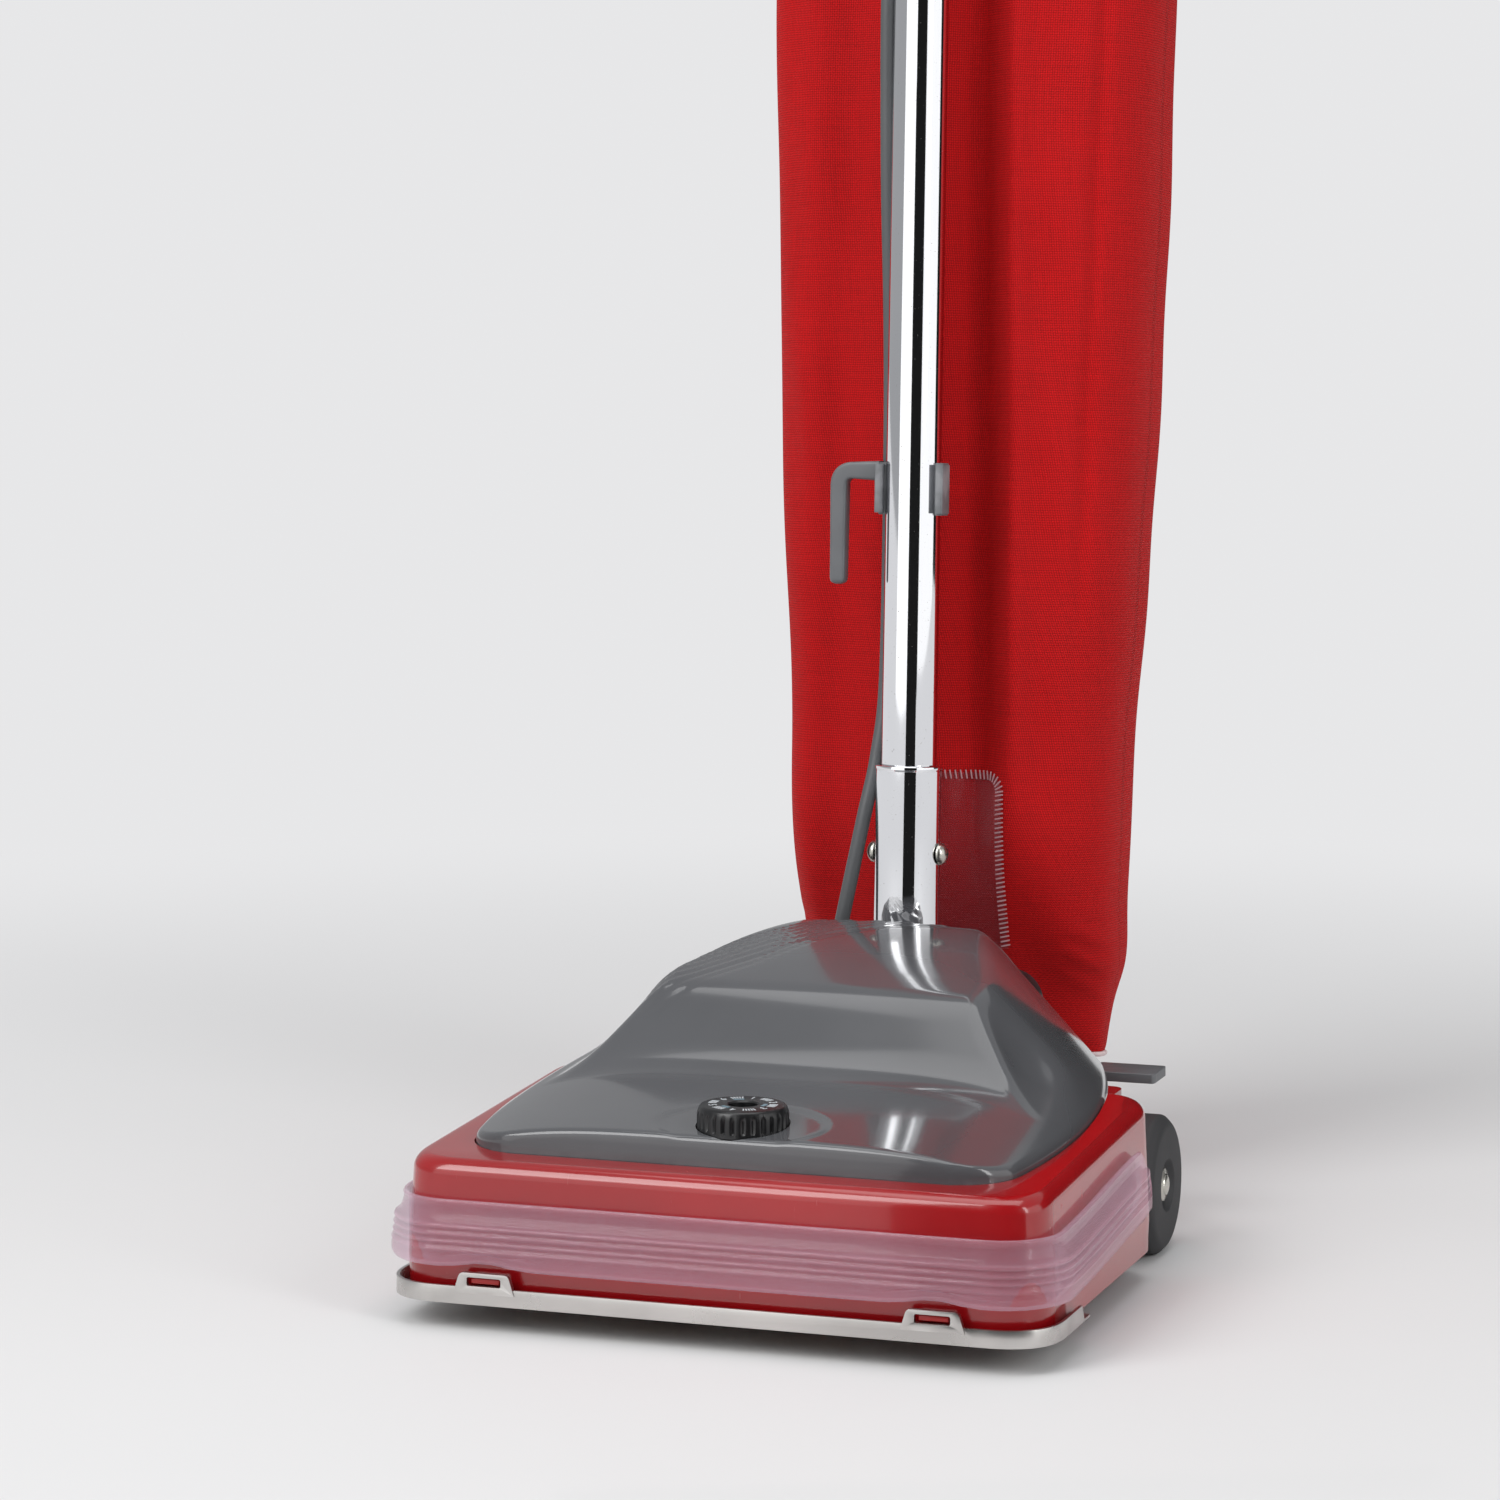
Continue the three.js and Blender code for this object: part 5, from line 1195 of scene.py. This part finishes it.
# ------------------------------------------------------------------ finishes of the CAD pieces that stay
KEPT = (
    (WOOD, "brush_roll"), (BLACK, "brush_bearing_right brush_bearing_left"),
    (BRISTLE, "bristle_strip_a_right bristle_strip_b_right bristle_strip_a_left bristle_strip_b_left"),
    (RUBBER, "drive_belt carbon_brush_right carbon_brush_left"), (IRON, "motor_field"), (COPPER, "armature"),
    (ALUMINIUM, "fan_impeller fan_cover"), (GEAR, "brush_holder_right brush_holder_left"),
    (ZINC, "motor_frame motor_pulley top_bearing lower_bearing wheel_carriage bag_spring bag_hanger"),
    (GREY_MATT, "bag_clip"),
)
for look, nodes in KEPT:
    for obj in (frame["nodes"][node] for node in nodes.split()):
        for slot in obj.material_slots:
            slot.material = look
        if not obj.material_slots:
            obj.data.materials.append(look)
for node in ("bag_clip", "bag_hanger"):
    rounding(frame["nodes"][node], 0.5, 3, 30)


# ------------------------------------------------------------------ floor, light and camera
def aimed(obj, azimuth, elevation, distance, back, up):
    """Stands a lamp or card round the machine, facing it. Azimuth 0 is in front and 90 on the +X side."""
    a, e = math.radians(azimuth), math.radians(elevation)
    away = Vector((math.sin(a) * math.cos(e), -math.cos(a) * math.cos(e), math.sin(e)))
    obj.location = Vector((0, 0, 0.35)) + away * distance
    obj.rotation_euler = away.to_track_quat(back, up).to_euler()


def card(name, azimuth, elevation, distance, width, height, grey, strength):
    """A panel seen only in reflections."""
    mesh = bpy.data.meshes.new(name)
    w, h = width / 2, height / 2
    mesh.from_pydata([(-w, 0, -h), (w, 0, -h), (w, 0, h), (-w, 0, h)], [], [(0, 1, 2, 3)])
    look = bpy.data.materials.new(name)
    look.use_nodes = True
    tree = look.node_tree
    tree.nodes.clear()
    glow = tree.nodes.new("ShaderNodeEmission")
    glow.inputs[0].default_value, glow.inputs[1].default_value = (grey, grey, grey, 1), strength
    tree.links.new(glow.outputs[0], tree.nodes.new("ShaderNodeOutputMaterial").inputs[0])
    mesh.materials.append(look)
    obj = added(name, mesh)
    aimed(obj, azimuth, elevation, distance, "Y", "Z")
    obj.visible_camera = obj.visible_diffuse = obj.visible_transmission = obj.visible_shadow = False


def lamp(name, azimuth, elevation, distance, width, height, power):
    light = bpy.data.lights.new(name, "AREA")
    light.shape, light.size, light.size_y, light.energy = "RECTANGLE", width, height, power
    aimed(added(name, light), azimuth, elevation, distance, "Z", "Y")


PALE = (0.80, 0.80, 0.81, 1)  # backdrop, and the floor far from the machine
SKY, SKY_STRENGTH = (0.92, 0.93, 0.95, 1), 0.42
DARK = 0.012


def floor():
    bm = bmesh.new()
    bmesh.ops.create_circle(bm, cap_ends=True, radius=40, segments=96)
    mesh = bpy.data.meshes.new("floor")
    bm.to_mesh(mesh)
    bm.free()
    made = added("floor", mesh)
    paint = Look("floor_paint", "floor")
    paint.set(Base_Color=(0.78, 0.78, 0.78, 1), Roughness=paint.scaled(paint.noise(3.0), 0.1, 0.6))
    away = paint.node("ShaderNodeVectorMath", {"operation": "LENGTH"}, i0=paint.place).outputs["Value"]
    glow = paint.node("ShaderNodeEmission", Color=PALE)
    paint.cover(paint.ramp(away, 0.35, 1.5), paint.surface, glow)
    made.data.materials.append(paint.mat)


def surroundings():
    """The sky that lights the machine, and the plain backdrop that the camera sees."""
    world = bpy.data.worlds.new("studio")
    bpy.context.scene.world = world
    world.use_nodes = True
    tree = world.node_tree
    sky, seen = tree.nodes["Background"], tree.nodes.new("ShaderNodeBackground")
    sky.inputs[0].default_value, sky.inputs[1].default_value = SKY, SKY_STRENGTH
    seen.inputs[0].default_value = PALE
    pick = tree.nodes.new("ShaderNodeMixShader")
    tree.links.new(tree.nodes.new("ShaderNodeLightPath").outputs["Is Camera Ray"], pick.inputs[0])
    tree.links.new(sky.outputs[0], pick.inputs[1])
    tree.links.new(seen.outputs[0], pick.inputs[2])
    tree.links.new(pick.outputs[0], tree.nodes["World Output"].inputs[0])


def lights():
    """Lamps and cards by azimuth. The camera stands at 18."""
    lamp("key", -32, 38, 3.0, 1.5, 1.8, 44)
    lamp("side", 62, 22, 3.0, 0.7, 2.0, 22)
    lamp("top", 20, 82, 2.6, 2.2, 2.2, 30)
    card("dark_front", 24, 4, 3.0, 2.3, 3.4, DARK, 1.0)
    card("dark_right", 155, 4, 3.3, 6.0, 3.4, DARK, 1.0)
    card("dark_near", 24, 0, 0.45, 0.36, 0.7, DARK, 1.0)
    card("strip_left", -22, 6, 3.2, 3.0, 3.4, 1, 1.35)
    card("strip_right", 79, 6, 3.2, 4.3, 3.4, 1, 1.2)


PHOTO, FOCAL, VIEW_X, VIEW_Y = 1500, 4506, 787, 221  # width, focal length and centre of view, in pixels
SENSOR = 36.0


def camera():
    """The photograph's view: level, a little to the machine's +X side, with the lens shifted down."""
    data = bpy.data.cameras.new("camera")
    data.sensor_width, data.lens = SENSOR, SENSOR * FOCAL / PHOTO
    data.shift_x, data.shift_y = -(VIEW_X - PHOTO / 2) / PHOTO, -(PHOTO / 2 - VIEW_Y) / PHOTO
    data.clip_end = 100
    obj = added("camera", data)
    obj.location, obj.rotation_euler = (0.694, -2.166, 0.510), (math.pi / 2, 0, math.radians(18.93))
    bpy.context.scene.camera = obj


floor()
surroundings()
lights()
camera()
bpy.context.scene.view_settings.view_transform = "Standard"
